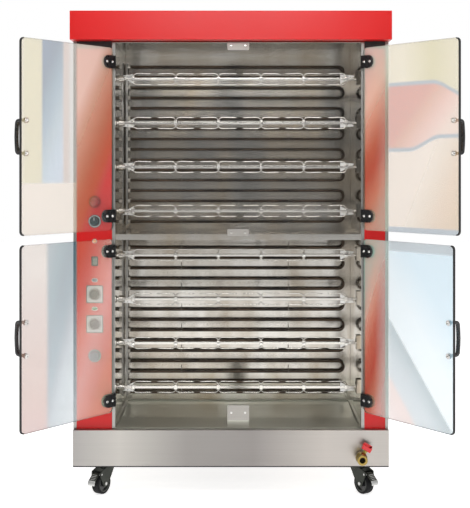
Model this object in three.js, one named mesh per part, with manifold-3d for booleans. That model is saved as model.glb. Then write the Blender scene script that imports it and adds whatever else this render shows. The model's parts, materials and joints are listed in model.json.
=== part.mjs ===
// Floor-standing rotisserie oven: eight chain-coupled spits in two mirror-walled chambers, behind two
// pairs of hinged glass doors, in a sheet-steel cabinet on four swivel casters.
// Millimetres. +X is to the right seen from the front, +Y runs from the front to the back, +Z is up.
// The pieces are laid out with y = 0 at the cabinet's front plane and z = 0 on the floor.
import * as THREE from 'three';
import { mergeVertices } from 'three/addons/utils/BufferGeometryUtils.js';
import Module from 'manifold-3d';

const wasm = await Module();
wasm.setup();

// ---- Driving dimensions -------------------------------------------------------------------------

const SHEET = 2; // folded sheet steel
const GAP = 0.3; // clearance between pieces that touch
const ROUND = 12; // sides of a small round pin or hole

const CABINET = { halfWidth: 591.5, depth: 650, rearClear: 648 };
const PLINTH = { halfWidth: 590, front: -25, bottom: 113, deck: 250 };
const CABLE_GLAND = { x: 350, y: 600, radius: 14, bore: 6, drop: 16 };
const CANOPY = { halfWidth: 597, front: -60, back: 655, bottom: 1705, top: 1812, lip: 20 };
const SIDE_FLANGE = 12; // width of the side panels' visible edge strips
const COLUMN_RETURN = 25; // depth of the columns' folded sides

// The opening that the doors close, and the cavity behind it.
const OPENING = { left: -446, right: 501, back: 525, ceiling: 1700, floor: 253.1 };
const CENTRE = (OPENING.left + OPENING.right) / 2;
const DIVIDER = { z: 974, lipBottom: 959, lipTop: 980, front: 3, back: 523, sideGap: 3.2 };
const PAN = { rim: 8, wall: 9, depth: 7, fold: 250, fall: 10 };
const CATCH = { halfWidth: 41, front: -7, upperEdge: 1671, middleEdge: 1000, lowerEdge: 340, fold: 284 };

const JAMB = { face: 12, depth: 22 };
const DOOR = { pivotInset: 7, pivotY: -13, thickness: 6, edge: 7.4, meet: 1.5, corner: 15 };
const PAIRS = [
  { level: 'upper', bottom: 997, top: 1678, clamps: [1625, 1050], handle: 1337 },
  { level: 'lower', bottom: 317, top: 964, clamps: [919, 362], handle: 641 },
];
// How far each door stands open, in degrees from closed.
const OPEN = { left_upper: 127, left_lower: 127, right_upper: 129, right_lower: 125.5 };
const CLAMP = { reach: 58, halfHeight: 24, radius: 9, bore: 4.8, slotStart: 7 };
const PIN = { radius: 4, arm: 5.5, plate: 5, below: 0.6, sides: 8 };
const HANDLE = { fromEdge: 27, halfLength: 64.5, standoff: 50, halfWidth: 5.5, grip: 8, foot: 14, corner: 5 };

const SPIT = { count: 8, top: 1579, pitch: 173.2, y: 210, blade: 10, left: -425, right: 484 };
const END_PLATE = { halfHeight: 19, reach: 27, tipHalf: 4, halfThick: 2 };
const HUB = {
  shaft: 8, hole: 9.2, end: -490, socket: 14, from: -442, to: -418, stub: 5, stubEnd: 510, sides: 8,
};
const SPROCKET = { from: -474, to: -468, tip: 30, root: 25, teeth: 10 };
const CHAIN = { from: -474.5, to: -467.5, inner: 31.2, outer: 36.5 };
const FORK = { first: -386, pitch: 168, count: 6, spread: 25, tine: 5, reach: 74, plate: 8 };
const REST = { halfWidth: 18, below: 22, above: 32, depth: 10, slot: 6, seat: 5.6 };

const HEATER = { y: 500, radius: 5, left: -433, right: 450, bend: 21.65, pitch: 86.6, count: 8 };
const HEATER_TOPS = { upper: 1631, lower: 916 };
const STRIP = { width: 8, halfDepth: 9, beyond: 14 }; // the heaters' upright terminal strip

const GEARMOTOR = { left: -532, clear: 4, halfDepth: 36, below: 42, above: 46, motor: 26, motorEnd: 175 };

const CONTROL_X = -511;
const BUTTON = { z: 1102, radius: 18.5, rise: 14, stem: 7, travel: 4 };
const KNOBS = [
  { name: 'upper_knob', z: 1029, radius: 17, color: 0x26302f },
  { name: 'thermostat_knob_upper', z: 755, radius: 17, color: 0x8b8f8c },
  { name: 'thermostat_knob_lower', z: 643, radius: 17, color: 0x8b8f8c },
  { name: 'timer_knob', z: 524, radius: 19, color: 0xb9b4b2 },
];
const KNOB = { back: 4, depth: 20, shaft: 4, shaftEnd: 28 };
const ROCKER = { z: 879, halfWidth: 8, halfHeight: 13.5, pivotY: 3, tilt: 8 };

const VALVE = {
  x: 483, z: 157, outletY: -105, collarDepth: 14, body: 17, collar: 19, bodyEnd: -38, nutEnd: -48,
  bore: 10.5, boreDepth: 30, pipe: 11, pipeStart: -34, riserY: 24, riserTop: 242, gland: 7,
};
// Heights above the valve's own axis, along a stem that leans to the right.
const LEVER = {
  y: -62, lean: 30, gland: 10, neck: 20, seat: 31, stemTop: 43, thickness: 6, halfLength: 22,
  halfWidth: 4, waist: 8, tip: 14, hub: 9.5,
};

const CASTER = {
  padBottom: 107, padHalf: 42, king: 6, kingLength: 18, crown: 28, crownDepth: 16,
  axleZ: 40, axle: 5, trail: 32, legs: 15, cheek: 3,
};
const CASTERS = [
  { name: 'front_left', x: -474, y: 55, angle: -30, braked: true },
  { name: 'front_right', x: 484, y: 55, angle: 35, braked: true },
  { name: 'rear_left', x: -474, y: 575, angle: 150, braked: false },
  { name: 'rear_right', x: 484, y: 575, angle: -165, braked: false },
];
const WHEEL = { radius: 40, sides: 20, bore: 5.6, halfWidth: 12 };
const PEDAL = { t: 57, z: 79, hub: 4.5, pin: 2.4, halfWidth: 14.4 };

// ---- Materials ----------------------------------------------------------------------------------

function finish(color, roughness, metalness, opacity = 1) {
  const transparent = opacity < 1;
  return new THREE.MeshStandardMaterial({ color, roughness, metalness, opacity, transparent });
}

const redPaint = finish(0xd8302c, 0.35, 0.1);
const brushedSteel = finish(0xc9c5c0, 0.35, 1);
const mirrorSteel = finish(0xd8d8d4, 0.08, 1);
const glass = finish(0xdfeef0, 0.02, 0, 0.3);
const blackPlastic = finish(0x141414, 0.3, 0);
const spitSteel = finish(0xb8b6b0, 0.25, 1);
const heaterSteel = finish(0x3d3a36, 0.5, 0.8);
const brass = finish(0xb08d3c, 0.3, 1);
const redPlastic = finish(0xd02028, 0.35, 0);
const rubber = finish(0x1c1c1e, 0.7, 0);
const zinc = finish(0x4a4c46, 0.45, 0.9);
const castAluminium = finish(0x8f9296, 0.5, 0.9);

// ---- Solids -------------------------------------------------------------------------------------

// Turns a closed geometry into a solid, without the flat triangles at a lathe's poles.
function toSolid(geometry) {
  geometry.deleteAttribute('normal');
  geometry.deleteAttribute('uv');
  const merged = mergeVertices(geometry);
  const triangles = [];
  const index = merged.index.array;
  for (let i = 0; i < index.length; i += 3) {
    const [a, b, c] = [index[i], index[i + 1], index[i + 2]];
    if (a !== b && b !== c && c !== a) triangles.push(a, b, c);
  }
  const vertProperties = new Float32Array(merged.attributes.position.array);
  const triVerts = new Uint32Array(triangles);
  return new wasm.Manifold(new wasm.Mesh({ numProp: 3, vertProperties, triVerts }));
}

function toGeometry(solid) {
  const mesh = solid.getMesh();
  const geometry = new THREE.BufferGeometry();
  geometry.setAttribute('position', new THREE.BufferAttribute(mesh.vertProperties, 3));
  geometry.setIndex(new THREE.BufferAttribute(mesh.triVerts, 1));
  geometry.computeVertexNormals();
  return geometry;
}

function joined(...solids) {
  return solids.reduce((whole, piece) => whole.add(piece));
}

// A box between two opposite corners, given in any order.
function block(a, b) {
  const size = a.map((value, i) => Math.abs(b[i] - value));
  const middle = a.map((value, i) => (value + b[i]) / 2);
  return toSolid(new THREE.BoxGeometry(...size).translate(...middle));
}

// A straight round bar between two points.
function rod(radius, from, to, sides = ROUND) {
  const start = new THREE.Vector3(...from);
  const along = new THREE.Vector3(...to).sub(start);
  const bar = new THREE.CylinderGeometry(radius, radius, along.length(), sides);
  const turn = new THREE.Quaternion().setFromUnitVectors(
    new THREE.Vector3(0, 1, 0), along.clone().normalize());
  return toSolid(bar.applyQuaternion(turn).translate(...start.addScaledVector(along, 0.5)));
}

// How an outline drawn on the page stands in space when it is extruded along each axis.
const PAGES = {
  x: new THREE.Matrix4().set(0, 0, 1, 0, 1, 0, 0, 0, 0, 1, 0, 0, 0, 0, 0, 1),
  y: new THREE.Matrix4().set(1, 0, 0, 0, 0, 0, -1, 0, 0, 1, 0, 0, 0, 0, 0, 1),
  z: new THREE.Matrix4(),
};

// An outline extruded along an axis. It is drawn as (y, z) for x, as (x, z) for y and as (x, y) for z.
function slab(outline, axis, from, to, curveSegments = 5) {
  const depth = Math.abs(to - from);
  const shape = Array.isArray(outline)
    ? new THREE.Shape(outline.map(([a, b]) => new THREE.Vector2(a, b)))
    : outline;
  const geometry = new THREE.ExtrudeGeometry(shape, { depth, bevelEnabled: false, curveSegments });
  const start = axis === 'y' ? Math.max(from, to) : Math.min(from, to);
  const shift = { x: 0, y: 0, z: 0, [axis]: start };
  geometry.applyMatrix4(PAGES[axis]).translate(shift.x, shift.y, shift.z);
  return toSolid(geometry);
}

// A profile of (radius, height) points turned about a vertical axis through the origin.
function turned(profile, sides) {
  const points = profile.map(([radius, height]) => new THREE.Vector2(radius, height));
  return new THREE.LatheGeometry(points, sides);
}

// ---- The assembly -------------------------------------------------------------------------------

const oven = new THREE.Group();

function add(name, solid, material, parent = oven) {
  const mesh = new THREE.Mesh(toGeometry(solid), material);
  mesh.name = name;
  parent.add(mesh);
}

// The square frame left when a smaller rectangle is cut from a flat sheet.
function ring(outer, inner, z0, z1) {
  const sheet = block([outer.x0, outer.y0, z0], [outer.x1, outer.y1, z1]);
  return sheet.subtract(block([inner.x0, inner.y0, z0 - 1], [inner.x1, inner.y1, z1 + 1]));
}

const spitHeights = Array.from({ length: SPIT.count }, (_, i) => SPIT.top - SPIT.pitch * i);

// ---- Cabinet ------------------------------------------------------------------------------------

// The pan drops through a cut-out in the plinth's deck and hangs there by its rim.
const panRim = {
  x0: OPENING.left + 0.5, x1: OPENING.right - 0.5, y0: 4, y1: OPENING.back - 1,
};
const panBasin = {
  x0: panRim.x0 + PAN.rim, x1: panRim.x1 - PAN.rim,
  y0: panRim.y0 + PAN.wall, y1: panRim.y1 - PAN.wall,
};

// A hexagonal gland under the plinth, at the back, where the supply cable goes in.
function cableEntry(plinth) {
  const { x, y, radius, bore, drop } = CABLE_GLAND;
  const { bottom } = PLINTH;
  const gland = rod(radius, [x, y, bottom - drop], [x, y, bottom + 1], 6);
  return plinth.add(gland).subtract(rod(bore, [x, y, bottom - drop - 5], [x, y, bottom + 10]));
}

function basePlinth() {
  const { halfWidth, front, bottom, deck } = PLINTH;
  const back = CABINET.depth;
  const outside = block([-halfWidth, front, bottom], [halfWidth, back, deck]);
  const inside = block(
    [-halfWidth + SHEET, front + SHEET, bottom + SHEET],
    [halfWidth - SHEET, back - SHEET, deck - SHEET]);
  const cutOut = block(
    [panBasin.x0 - 1, panBasin.y0 - 1, deck - SHEET - 1], [panBasin.x1 + 1, panBasin.y1 + 1, deck + 1]);
  const { x: pipeX, z: pipeZ, pipe } = VALVE;
  const pipeHole = rod(pipe + 1, [pipeX, front - 5, pipeZ], [pipeX, front + 5, pipeZ], 16);
  let plinth = outside.subtract(inside).subtract(cutOut).subtract(pipeHole);
  for (const { x, y } of CASTERS) {
    const { padHalf, padBottom, king, kingLength } = CASTER;
    const pad = block([x - padHalf, y - padHalf, padBottom], [x + padHalf, y + padHalf, bottom + 1]);
    const pin = rod(king, [x, y, padBottom - kingLength], [x, y, bottom]);
    plinth = joined(plinth, pad, pin);
  }
  return cableEntry(plinth);
}

// A shallow trough that falls to a fold near its middle, with the lower door catch on its front rim.
function dripPan() {
  const { x0, x1, y0, y1 } = panBasin;
  const rimBottom = PLINTH.deck + GAP;
  const rimTop = rimBottom + SHEET;
  const floor = rimTop - PAN.depth;
  const trough = (inset, top, lift) => [
    [y0 + inset, top], [y1 - inset, top], [y1 - inset, floor + lift],
    [PAN.fold, floor - PAN.fall + lift], [y0 + inset, floor + lift],
  ];
  const basin = slab(trough(0, rimTop, 0), 'x', x0, x1);
  const hollow = slab(trough(SHEET, rimTop + 1, SHEET), 'x', x0 + SHEET, x1 - SHEET);
  const rim = ring(panRim, { x0: x0 + 1, x1: x1 - 1, y0: y0 + 1, y1: y1 - 1 }, rimBottom, rimTop);
  const { front, lowerEdge, fold, halfWidth } = CATCH;
  const catchPlate = slab([
    [front, lowerEdge], [front + SHEET, lowerEdge], [front + SHEET, fold],
    [panRim.y0 + 4, rimBottom + 1], [panRim.y0 + 1, rimBottom + 0.5], [front, fold - 2],
  ], 'x', CENTRE - halfWidth, CENTRE + halfWidth);
  return joined(basin.subtract(hollow), rim, catchPlate);
}

// A sheet with both long edges folded back, standing between the plinth and the canopy.
function column(outer, inner) {
  const inward = Math.sign(inner - outer) * SHEET;
  return slab([
    [outer, 0], [inner, 0], [inner, COLUMN_RETURN], [inner - inward, COLUMN_RETURN],
    [inner - inward, SHEET], [outer + inward, SHEET], [outer + inward, COLUMN_RETURN],
    [outer, COLUMN_RETURN],
  ], 'z', PLINTH.deck + GAP, CANOPY.bottom - GAP);
}

// The left column, with holes for the controls.
function controlColumn() {
  let panel = column(-CABINET.halfWidth + SIDE_FLANGE + GAP, OPENING.left);
  const hole = (radius, z) => rod(radius, [CONTROL_X, -5, z], [CONTROL_X, SHEET + 5, z]);
  for (const { z } of KNOBS) panel = panel.subtract(hole(KNOB.shaft + 1, z));
  panel = panel.subtract(hole(BUTTON.stem + 1, BUTTON.z));
  const { halfWidth, halfHeight, z } = ROCKER;
  return panel.subtract(block(
    [CONTROL_X - halfWidth - 1.5, -5, z - halfHeight - 1.5],
    [CONTROL_X + halfWidth + 1.5, SHEET + 5, z + halfHeight + 1.5]));
}

// A flat side sheet with its front and rear edges folded inward.
function sidePanel(side) {
  const outer = side * CABINET.halfWidth;
  const edge = outer - side * SIDE_FLANGE;
  const inner = outer - side * SHEET;
  const { depth } = CABINET;
  return slab([
    [outer, 0], [edge, 0], [edge, SHEET], [inner, SHEET],
    [inner, depth - SHEET], [edge, depth - SHEET], [edge, depth], [outer, depth],
  ], 'z', PLINTH.deck + GAP, CANOPY.bottom - GAP);
}

function canopy() {
  const { halfWidth, front, back, bottom, top, lip } = CANOPY;
  const outside = block([-halfWidth, front, bottom], [halfWidth, back, top]);
  const inside = block(
    [-halfWidth + SHEET, front + SHEET, bottom + SHEET], [halfWidth - SHEET, back - SHEET, top - SHEET]);
  const underside = block([-halfWidth + lip, 5, bottom - 1], [halfWidth - lip, back - lip, bottom + lip]);
  return outside.subtract(inside).subtract(underside);
}

// A flat sheet between the side panels, with two stacks of vent slots.
function rearPanel() {
  const edge = CABINET.halfWidth - SIDE_FLANGE - GAP;
  const { rearClear, depth } = CABINET;
  let panel = block([-edge, rearClear, PLINTH.deck + GAP], [edge, depth, CANOPY.bottom - GAP]);
  const slot = { halfLength: 45, halfHeight: 4, pitch: 32, count: 4, x: -515 };
  for (const start of [330, 1480]) {
    for (let i = 0; i < slot.count; i++) {
      const z = start + i * slot.pitch;
      panel = panel.subtract(block(
        [slot.x - slot.halfLength, rearClear - 5, z - slot.halfHeight],
        [slot.x + slot.halfLength, depth + 5, z + slot.halfHeight]));
    }
  }
  return panel;
}

// ---- Cavity -------------------------------------------------------------------------------------

const wallFront = COLUMN_RETURN + GAP;
const wallBack = OPENING.back + 8;

// The drive shafts come through round holes in the left wall.
function leftInnerWall() {
  const x = OPENING.left;
  let wall = block(
    [x - SHEET, wallFront, PLINTH.deck + GAP], [x, wallBack, OPENING.ceiling + SHEET]);
  for (const z of spitHeights) {
    wall = wall.subtract(rod(HUB.hole, [x - 10, SPIT.y, z], [x + 10, SPIT.y, z], HUB.sides));
  }
  return wall;
}

// The right wall carries a slotted rest for the free end of each spit.
function rightInnerWall() {
  const x = OPENING.right;
  const { halfWidth, below, above, depth, slot, seat } = REST;
  let wall = block(
    [x, wallFront, PLINTH.deck + GAP], [x + SHEET, wallBack, OPENING.ceiling + SHEET]);
  for (const z of spitHeights) {
    const near = SPIT.y - halfWidth;
    const far = SPIT.y + halfWidth;
    wall = wall.add(block([x - depth, near, z - below], [x + 1, far, z + above]));
  }
  for (const z of spitHeights) {
    const slotTop = z + above - 4;
    wall = wall.subtract(
      block([x - depth - 5, SPIT.y - slot, z - seat], [x + 10, SPIT.y + slot, slotTop]));
  }
  return wall;
}

// Back wall and ceiling in one folded sheet, with the upper door catch hanging from its front edge.
function cavityLiner() {
  const { left, right, back, ceiling, floor } = OPENING;
  const front = 4;
  const sheet = slab([
    [front, ceiling], [back, ceiling], [back, floor], [back + SHEET, floor],
    [back + SHEET, ceiling + SHEET], [front, ceiling + SHEET],
  ], 'x', left + GAP, right - GAP);
  const x0 = CENTRE - CATCH.halfWidth;
  const x1 = CENTRE + CATCH.halfWidth;
  const bridge = block([x0, CATCH.front, ceiling], [x1, front + 5, ceiling + SHEET]);
  const plate = block([x0, CATCH.front, CATCH.upperEdge], [x1, CATCH.front + SHEET, ceiling + SHEET]);
  return joined(sheet, bridge, plate);
}

// A shelf with a front lip, and the middle door catch on the lip.
function midDivider() {
  const { z, lipBottom, lipTop, front, back, sideGap } = DIVIDER;
  const shelf = slab([
    [front, lipBottom], [front + SHEET, lipBottom], [front + SHEET, z], [back, z],
    [back, z + SHEET], [front + SHEET, z + SHEET], [front + SHEET, lipTop], [front, lipTop],
  ], 'x', OPENING.left + sideGap, OPENING.right - sideGap);
  const x0 = CENTRE - CATCH.halfWidth;
  const x1 = CENTRE + CATCH.halfWidth;
  const bridge = block([x0, CATCH.front, z], [x1, front + 1, z + SHEET]);
  const plate = block([x0, CATCH.front, z], [x1, CATCH.front + SHEET, CATCH.middleEdge]);
  return joined(shelf, bridge, plate);
}

// An angle strip round the edge of the opening, with a bracket and an upright pin below each clamp.
// The brackets are narrow, so that the pane's edge can swing past them.
function doorJamb(side) {
  const edge = side < 0 ? OPENING.left : OPENING.right;
  const at = (inset) => edge - side * inset;
  let jamb = slab([
    [at(GAP), -SHEET], [at(JAMB.face), -SHEET], [at(JAMB.face), 0], [at(GAP + SHEET), 0],
    [at(GAP + SHEET), JAMB.depth], [at(GAP), JAMB.depth],
  ], 'z', OPENING.floor, OPENING.ceiling - GAP);
  const pivotX = at(DOOR.pivotInset);
  const { pivotY } = DOOR;
  const { radius, arm, plate, below, sides } = PIN;
  const upright = (r, z0, z1) => rod(r, [pivotX, pivotY, z0], [pivotX, pivotY, z1], sides);
  for (const z of PAIRS.flatMap(({ clamps }) => clamps)) {
    const top = z - CLAMP.halfHeight - below;
    const pinTop = z + CLAMP.halfHeight - 1;
    const bracket = block([pivotX - arm, pivotY, top - plate], [pivotX + arm, -1, top]);
    jamb = joined(jamb, bracket, upright(arm, top - plate, top), upright(radius, top - 1, pinTop));
  }
  return jamb;
}

// A half-turn that joins two level tubes one above the other.
class HairpinBend extends THREE.Curve {
  constructor(x, y, z, radius) {
    super();
    Object.assign(this, { x, y, z, radius });
  }

  getPoint(t, target = new THREE.Vector3()) {
    const angle = Math.PI * (t - 0.5);
    return target.set(
      this.x + this.radius * Math.cos(angle), this.y, this.z + this.radius * Math.sin(angle));
  }
}

// A stack of hairpin tubes held by one upright terminal strip.
function heaterBank(topZ) {
  const { y, radius, left, right, bend, pitch, count } = HEATER;
  const lowest = topZ - pitch * (count - 1);
  const { width, halfDepth, beyond } = STRIP;
  const strip = block(
    [left - width, y - halfDepth, lowest - bend - beyond], [left, y + halfDepth, topZ + bend + beyond]);
  const ringPoints = Array.from({ length: 8 }, (_, i) => {
    const angle = (i * Math.PI) / 4;
    return new THREE.Vector2(radius * Math.cos(angle), radius * Math.sin(angle));
  });
  let bank = strip;
  for (let i = 0; i < count; i++) {
    const z = topZ - pitch * i;
    const extrudePath = new HairpinBend(right, y, z, bend);
    const turn = new THREE.ExtrudeGeometry(new THREE.Shape(ringPoints), { steps: 5, extrudePath });
    const leg = (level) => rod(radius, [left - 1, y, level], [right + 0.5, y, level], 8);
    bank = joined(bank, toSolid(turn), leg(z - bend), leg(z + bend));
  }
  return bank;
}

// ---- Doors --------------------------------------------------------------------------------------
// A door's pieces are drawn closed, about its pivot. "along" is +1 where the pane runs towards +X.

const paneEdge = (OPENING.right - OPENING.left) / 2 - DOOR.pivotInset - DOOR.meet;

function doorGlass(along, bottom, top) {
  const { edge, thickness, corner } = DOOR;
  const x0 = Math.min(along * edge, along * paneEdge);
  const x1 = Math.max(along * edge, along * paneEdge);
  const shape = new THREE.Shape();
  shape.moveTo(x0 + corner, bottom).lineTo(x1 - corner, bottom);
  shape.absarc(x1 - corner, bottom + corner, corner, -Math.PI / 2, 0).lineTo(x1, top - corner);
  shape.absarc(x1 - corner, top - corner, corner, 0, Math.PI / 2).lineTo(x0 + corner, top);
  shape.absarc(x0 + corner, top - corner, corner, Math.PI / 2, Math.PI).lineTo(x0, bottom + corner);
  shape.absarc(x0 + corner, bottom + corner, corner, Math.PI, Math.PI * 1.5);
  return slab(shape, 'y', -thickness / 2, thickness / 2, 3);
}

// Two cheeks that grip the pane, joined by a barrel round the hinge pin.
function hingeClamp(along, z) {
  const { reach, halfHeight, radius, bore, slotStart } = CLAMP;
  const plan = new THREE.Shape();
  plan.moveTo(0, -radius).lineTo(reach, -radius).lineTo(reach, radius).lineTo(0, radius);
  plan.absarc(0, 0, radius, Math.PI / 2, Math.PI * 1.5);
  const face = new THREE.Shape();
  face.moveTo(-radius - 1, z - halfHeight).lineTo(reach - halfHeight, z - halfHeight);
  face.absarc(reach - halfHeight, z, halfHeight, -Math.PI / 2, Math.PI / 2);
  face.lineTo(-radius - 1, z + halfHeight);
  const turnedPlan = new THREE.Shape(plan.getPoints(4).map((p) => new THREE.Vector2(along * p.x, p.y)));
  const turnedFace = new THREE.Shape(face.getPoints(5).map((p) => new THREE.Vector2(along * p.x, p.y)));
  const body = slab(turnedPlan, 'z', z - halfHeight, z + halfHeight);
  const cheeks = body.intersect(slab(turnedFace, 'y', -radius - 1, radius + 1));
  const slotHalf = DOOR.thickness / 2 + GAP;
  const slot = block([along * slotStart, -slotHalf, z - 40], [along * (reach + 5), slotHalf, z + 40]);
  const hole = rod(bore, [0, 0, z - 40], [0, 0, z + 40], PIN.sides);
  return cheeks.subtract(slot).subtract(hole);
}

// A bow handle on the pane's outer face, open behind for the fingers.
function doorHandle(along, z) {
  const { fromEdge, halfLength, standoff, halfWidth, grip, foot, corner } = HANDLE;
  const face = -DOOR.thickness / 2 - GAP;
  const far = face - standoff;
  const low = z - halfLength;
  const high = z + halfLength;
  const shape = new THREE.Shape();
  shape.moveTo(face, low).lineTo(far + corner, low).quadraticCurveTo(far, low, far, low + corner);
  shape.lineTo(far, high - corner).quadraticCurveTo(far, high, far + corner, high).lineTo(face, high);
  shape.lineTo(face, high - foot).lineTo(far + grip, high - foot).lineTo(far + grip, low + foot);
  shape.lineTo(face, low + foot);
  const x = along * (paneEdge - fromEdge);
  return slab(shape, 'x', x - halfWidth, x + halfWidth);
}

function addDoor(side, pair) {
  const along = -side;
  const prefix = `${side < 0 ? 'left' : 'right'}_${pair.level}`;
  const door = new THREE.Group();
  const edge = side < 0 ? OPENING.left : OPENING.right;
  door.position.set(edge - side * DOOR.pivotInset, DOOR.pivotY, 0);
  door.rotation.z = THREE.MathUtils.degToRad(side * OPEN[prefix]);
  oven.add(door);
  add(`${prefix}_door_glass`, doorGlass(along, pair.bottom, pair.top), glass, door);
  add(`${prefix}_handle`, doorHandle(along, pair.handle), blackPlastic, door);
  add(`${prefix}_clamp_top`, hingeClamp(along, pair.clamps[0]), blackPlastic, door);
  add(`${prefix}_clamp_bottom`, hingeClamp(along, pair.clamps[1]), blackPlastic, door);
}

// ---- Spits and drive ----------------------------------------------------------------------------

function sprocketOutline(y, z) {
  const { teeth, tip, root } = SPROCKET;
  const half = Math.PI / teeth;
  return Array.from({ length: teeth }, (_, i) => {
    const middle = 2 * half * i;
    const corners = [[root, middle - half], [tip, middle - half / 4], [tip, middle + half / 4]];
    return corners.map(([radius, a]) => [y + radius * Math.cos(a), z + radius * Math.sin(a)]);
  }).flat();
}

// A flat fork across the blade, with a tine above and below it reaching left and right as asked.
function spitFork(x, z, reachLeft, reachRight) {
  const { spread, tine, plate } = FORK;
  const inside = spread - tine;
  // Half of the outline, from the end of one tine to the end of the other on the same side.
  const half = (tipX, plateX, up) => [
    [tipX, z + up * spread], [tipX, z + up * inside], [plateX, z + up * inside],
    [plateX, z - up * inside], [tipX, z - up * inside], [tipX, z - up * spread],
  ];
  const outline = [
    ...half(x + reachRight, x + plate / 2, 1), ...half(x - reachLeft, x - plate / 2, -1),
  ];
  return slab(outline, 'y', SPIT.y - tine / 2, SPIT.y + tine / 2);
}

// One spit: sprocket, drive shaft and socket, square blade, six forks, end plates and the free stub.
function spit(z) {
  const { y, blade, left, right } = SPIT;
  const half = blade / 2;
  const disc = slab(sprocketOutline(y, z), 'x', SPROCKET.from, SPROCKET.to);
  const shaft = rod(HUB.shaft, [HUB.end, y, z], [HUB.from + 1, y, z], HUB.sides);
  const socket = rod(HUB.socket, [HUB.from, y, z], [HUB.to, y, z], HUB.sides);
  const bar = block([left, y - half, z - half], [right, y + half, z + half]);
  const stub = rod(HUB.stub, [right - 1, y, z], [HUB.stubEnd, y, z], HUB.sides);
  const { halfHeight, reach, tipHalf, halfThick } = END_PLATE;
  const endPlate = (x, toward) => slab([
    [x, z - halfHeight], [x, z + halfHeight], [x + toward * reach, z + tipHalf],
    [x + toward * reach, z - tipHalf],
  ], 'y', y - halfThick, y + halfThick);
  let whole = joined(disc, shaft, socket, bar, stub, endPlate(HUB.to - 1, 1), endPlate(right - 4, -1));
  for (let i = 0; i < FORK.count; i++) {
    const reachLeft = i > 0 ? FORK.reach : FORK.plate;
    const reachRight = i < FORK.count - 1 ? FORK.reach : FORK.plate;
    whole = whole.add(spitFork(FORK.first + FORK.pitch * i, z, reachLeft, reachRight));
  }
  return whole;
}

// The chain as one plain band round the top and bottom sprockets, clear of the teeth.
function driveChain() {
  const top = spitHeights[0];
  const bottom = spitHeights[SPIT.count - 1];
  const loop = (radius) => {
    const path = new THREE.Path();
    path.moveTo(SPIT.y + radius, bottom).lineTo(SPIT.y + radius, top);
    path.absarc(SPIT.y, top, radius, 0, Math.PI).lineTo(SPIT.y - radius, bottom);
    path.absarc(SPIT.y, bottom, radius, Math.PI, 2 * Math.PI);
    return path.getPoints(7);
  };
  const shape = new THREE.Shape(loop(CHAIN.outer));
  shape.holes.push(new THREE.Path(loop(CHAIN.inner)));
  return slab(shape, 'x', CHAIN.from, CHAIN.to);
}

// A hollow-shaft gearbox round the lowest drive shaft, with its motor behind and a foot on the plinth.
function gearmotor() {
  const { y } = SPIT;
  const z = spitHeights[SPIT.count - 1];
  const { left: x0, clear, halfDepth, below, above, motor: radius, motorEnd } = GEARMOTOR;
  const x1 = CHAIN.from - clear;
  const middle = (x0 + x1) / 2;
  const { deck } = PLINTH;
  const gearbox = block([x0, y - halfDepth, z - below], [x1, y + halfDepth, z + above]);
  const motor = rod(radius, [middle, y + halfDepth - 6, z], [middle, y + motorEnd, z], 16);
  const web = block(
    [middle - 4, y - halfDepth + 6, deck + 1], [middle + 4, y + halfDepth - 6, z - below + 2]);
  const foot = block([x0, y - halfDepth - 4, deck + GAP], [x1, y + halfDepth + 4, deck + 5]);
  const bore = rod(HUB.hole, [x1 + 5, y, z], [HUB.end - 6, y, z], HUB.sides);
  return joined(gearbox, motor, web, foot).subtract(bore);
}

// ---- Controls -----------------------------------------------------------------------------------

// A turned piece whose axis runs through the column at a given height, its profile rising forward.
function turnedControl(profile, z, sides = 16) {
  return toSolid(turned(profile, sides).rotateX(Math.PI).translate(CONTROL_X, 0, z));
}

function startButton() {
  const { radius, rise, stem, travel, z } = BUTTON;
  const back = travel + 2;
  const dome = Array.from({ length: 4 }, (_, i) => {
    const angle = (i / 4) * (Math.PI / 2);
    return [radius * Math.cos(angle), back + 4 + rise * Math.sin(angle)];
  });
  const top = [0, back + 4 + rise];
  return turnedControl([[0, -20], [stem, -20], [stem, back], [radius, back], ...dome, top], z);
}

function rotaryKnob(radius, z) {
  const { back, depth, shaft, shaftEnd } = KNOB;
  const front = back + depth;
  return turnedControl([
    [0, -shaftEnd], [shaft, -shaftEnd], [shaft, back], [radius + 2, back],
    [radius, back + 5], [radius - 2, front], [0, front],
  ], z);
}

// A rocker that stands tilted in its off position.
function rockerSwitch() {
  const { halfWidth, halfHeight, z, tilt } = ROCKER;
  const face = slab([
    [6, -halfHeight * 0.6], [6, halfHeight * 0.6], [-3, halfHeight], [-5, halfHeight * 0.9], [-3, 0],
    [-5, -halfHeight * 0.9], [-3, -halfHeight],
  ], 'x', -halfWidth, halfWidth);
  const geometry = toGeometry(face).rotateX(THREE.MathUtils.degToRad(tilt));
  return toSolid(geometry.translate(CONTROL_X, ROCKER.pivotY, z));
}

// ---- Drain --------------------------------------------------------------------------------------

// A ball valve on a pipe that comes through the plinth from below the pan.
function drainValve() {
  const { x, z, outletY, collarDepth, body, collar, bodyEnd, nutEnd, bore, boreDepth } = VALVE;
  const { pipe, pipeStart, riserY, riserTop, gland } = VALVE;
  const along = (radius, from, to, sides) => rod(radius, [x, from, z], [x, to, z], sides);
  const upright = (radius, y, from, to) => rod(radius, [x, y, from], [x, y, to]);
  const lean = THREE.MathUtils.degToRad(LEVER.lean);
  const stemPoint = (height) => [x + height * Math.sin(lean), LEVER.y, z + height * Math.cos(lean)];
  const onStem = (radius, from, to) => rod(radius, stemPoint(from), stemPoint(to));
  const pieces = [
    along(body, outletY + collarDepth - 2, bodyEnd, 16),
    along(collar, outletY, outletY + collarDepth, 16),
    along(collar, nutEnd, pipeStart + 2, 6),
    along(pipe, pipeStart, riserY, 12),
    upright(pipe, riserY, z - pipe, riserTop),
    onStem(gland, LEVER.gland, LEVER.seat - GAP),
    onStem(PIN.radius, LEVER.neck, LEVER.stemTop),
  ];
  return joined(...pieces).subtract(along(bore, outletY - 5, outletY + boreDepth, 16));
}

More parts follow.
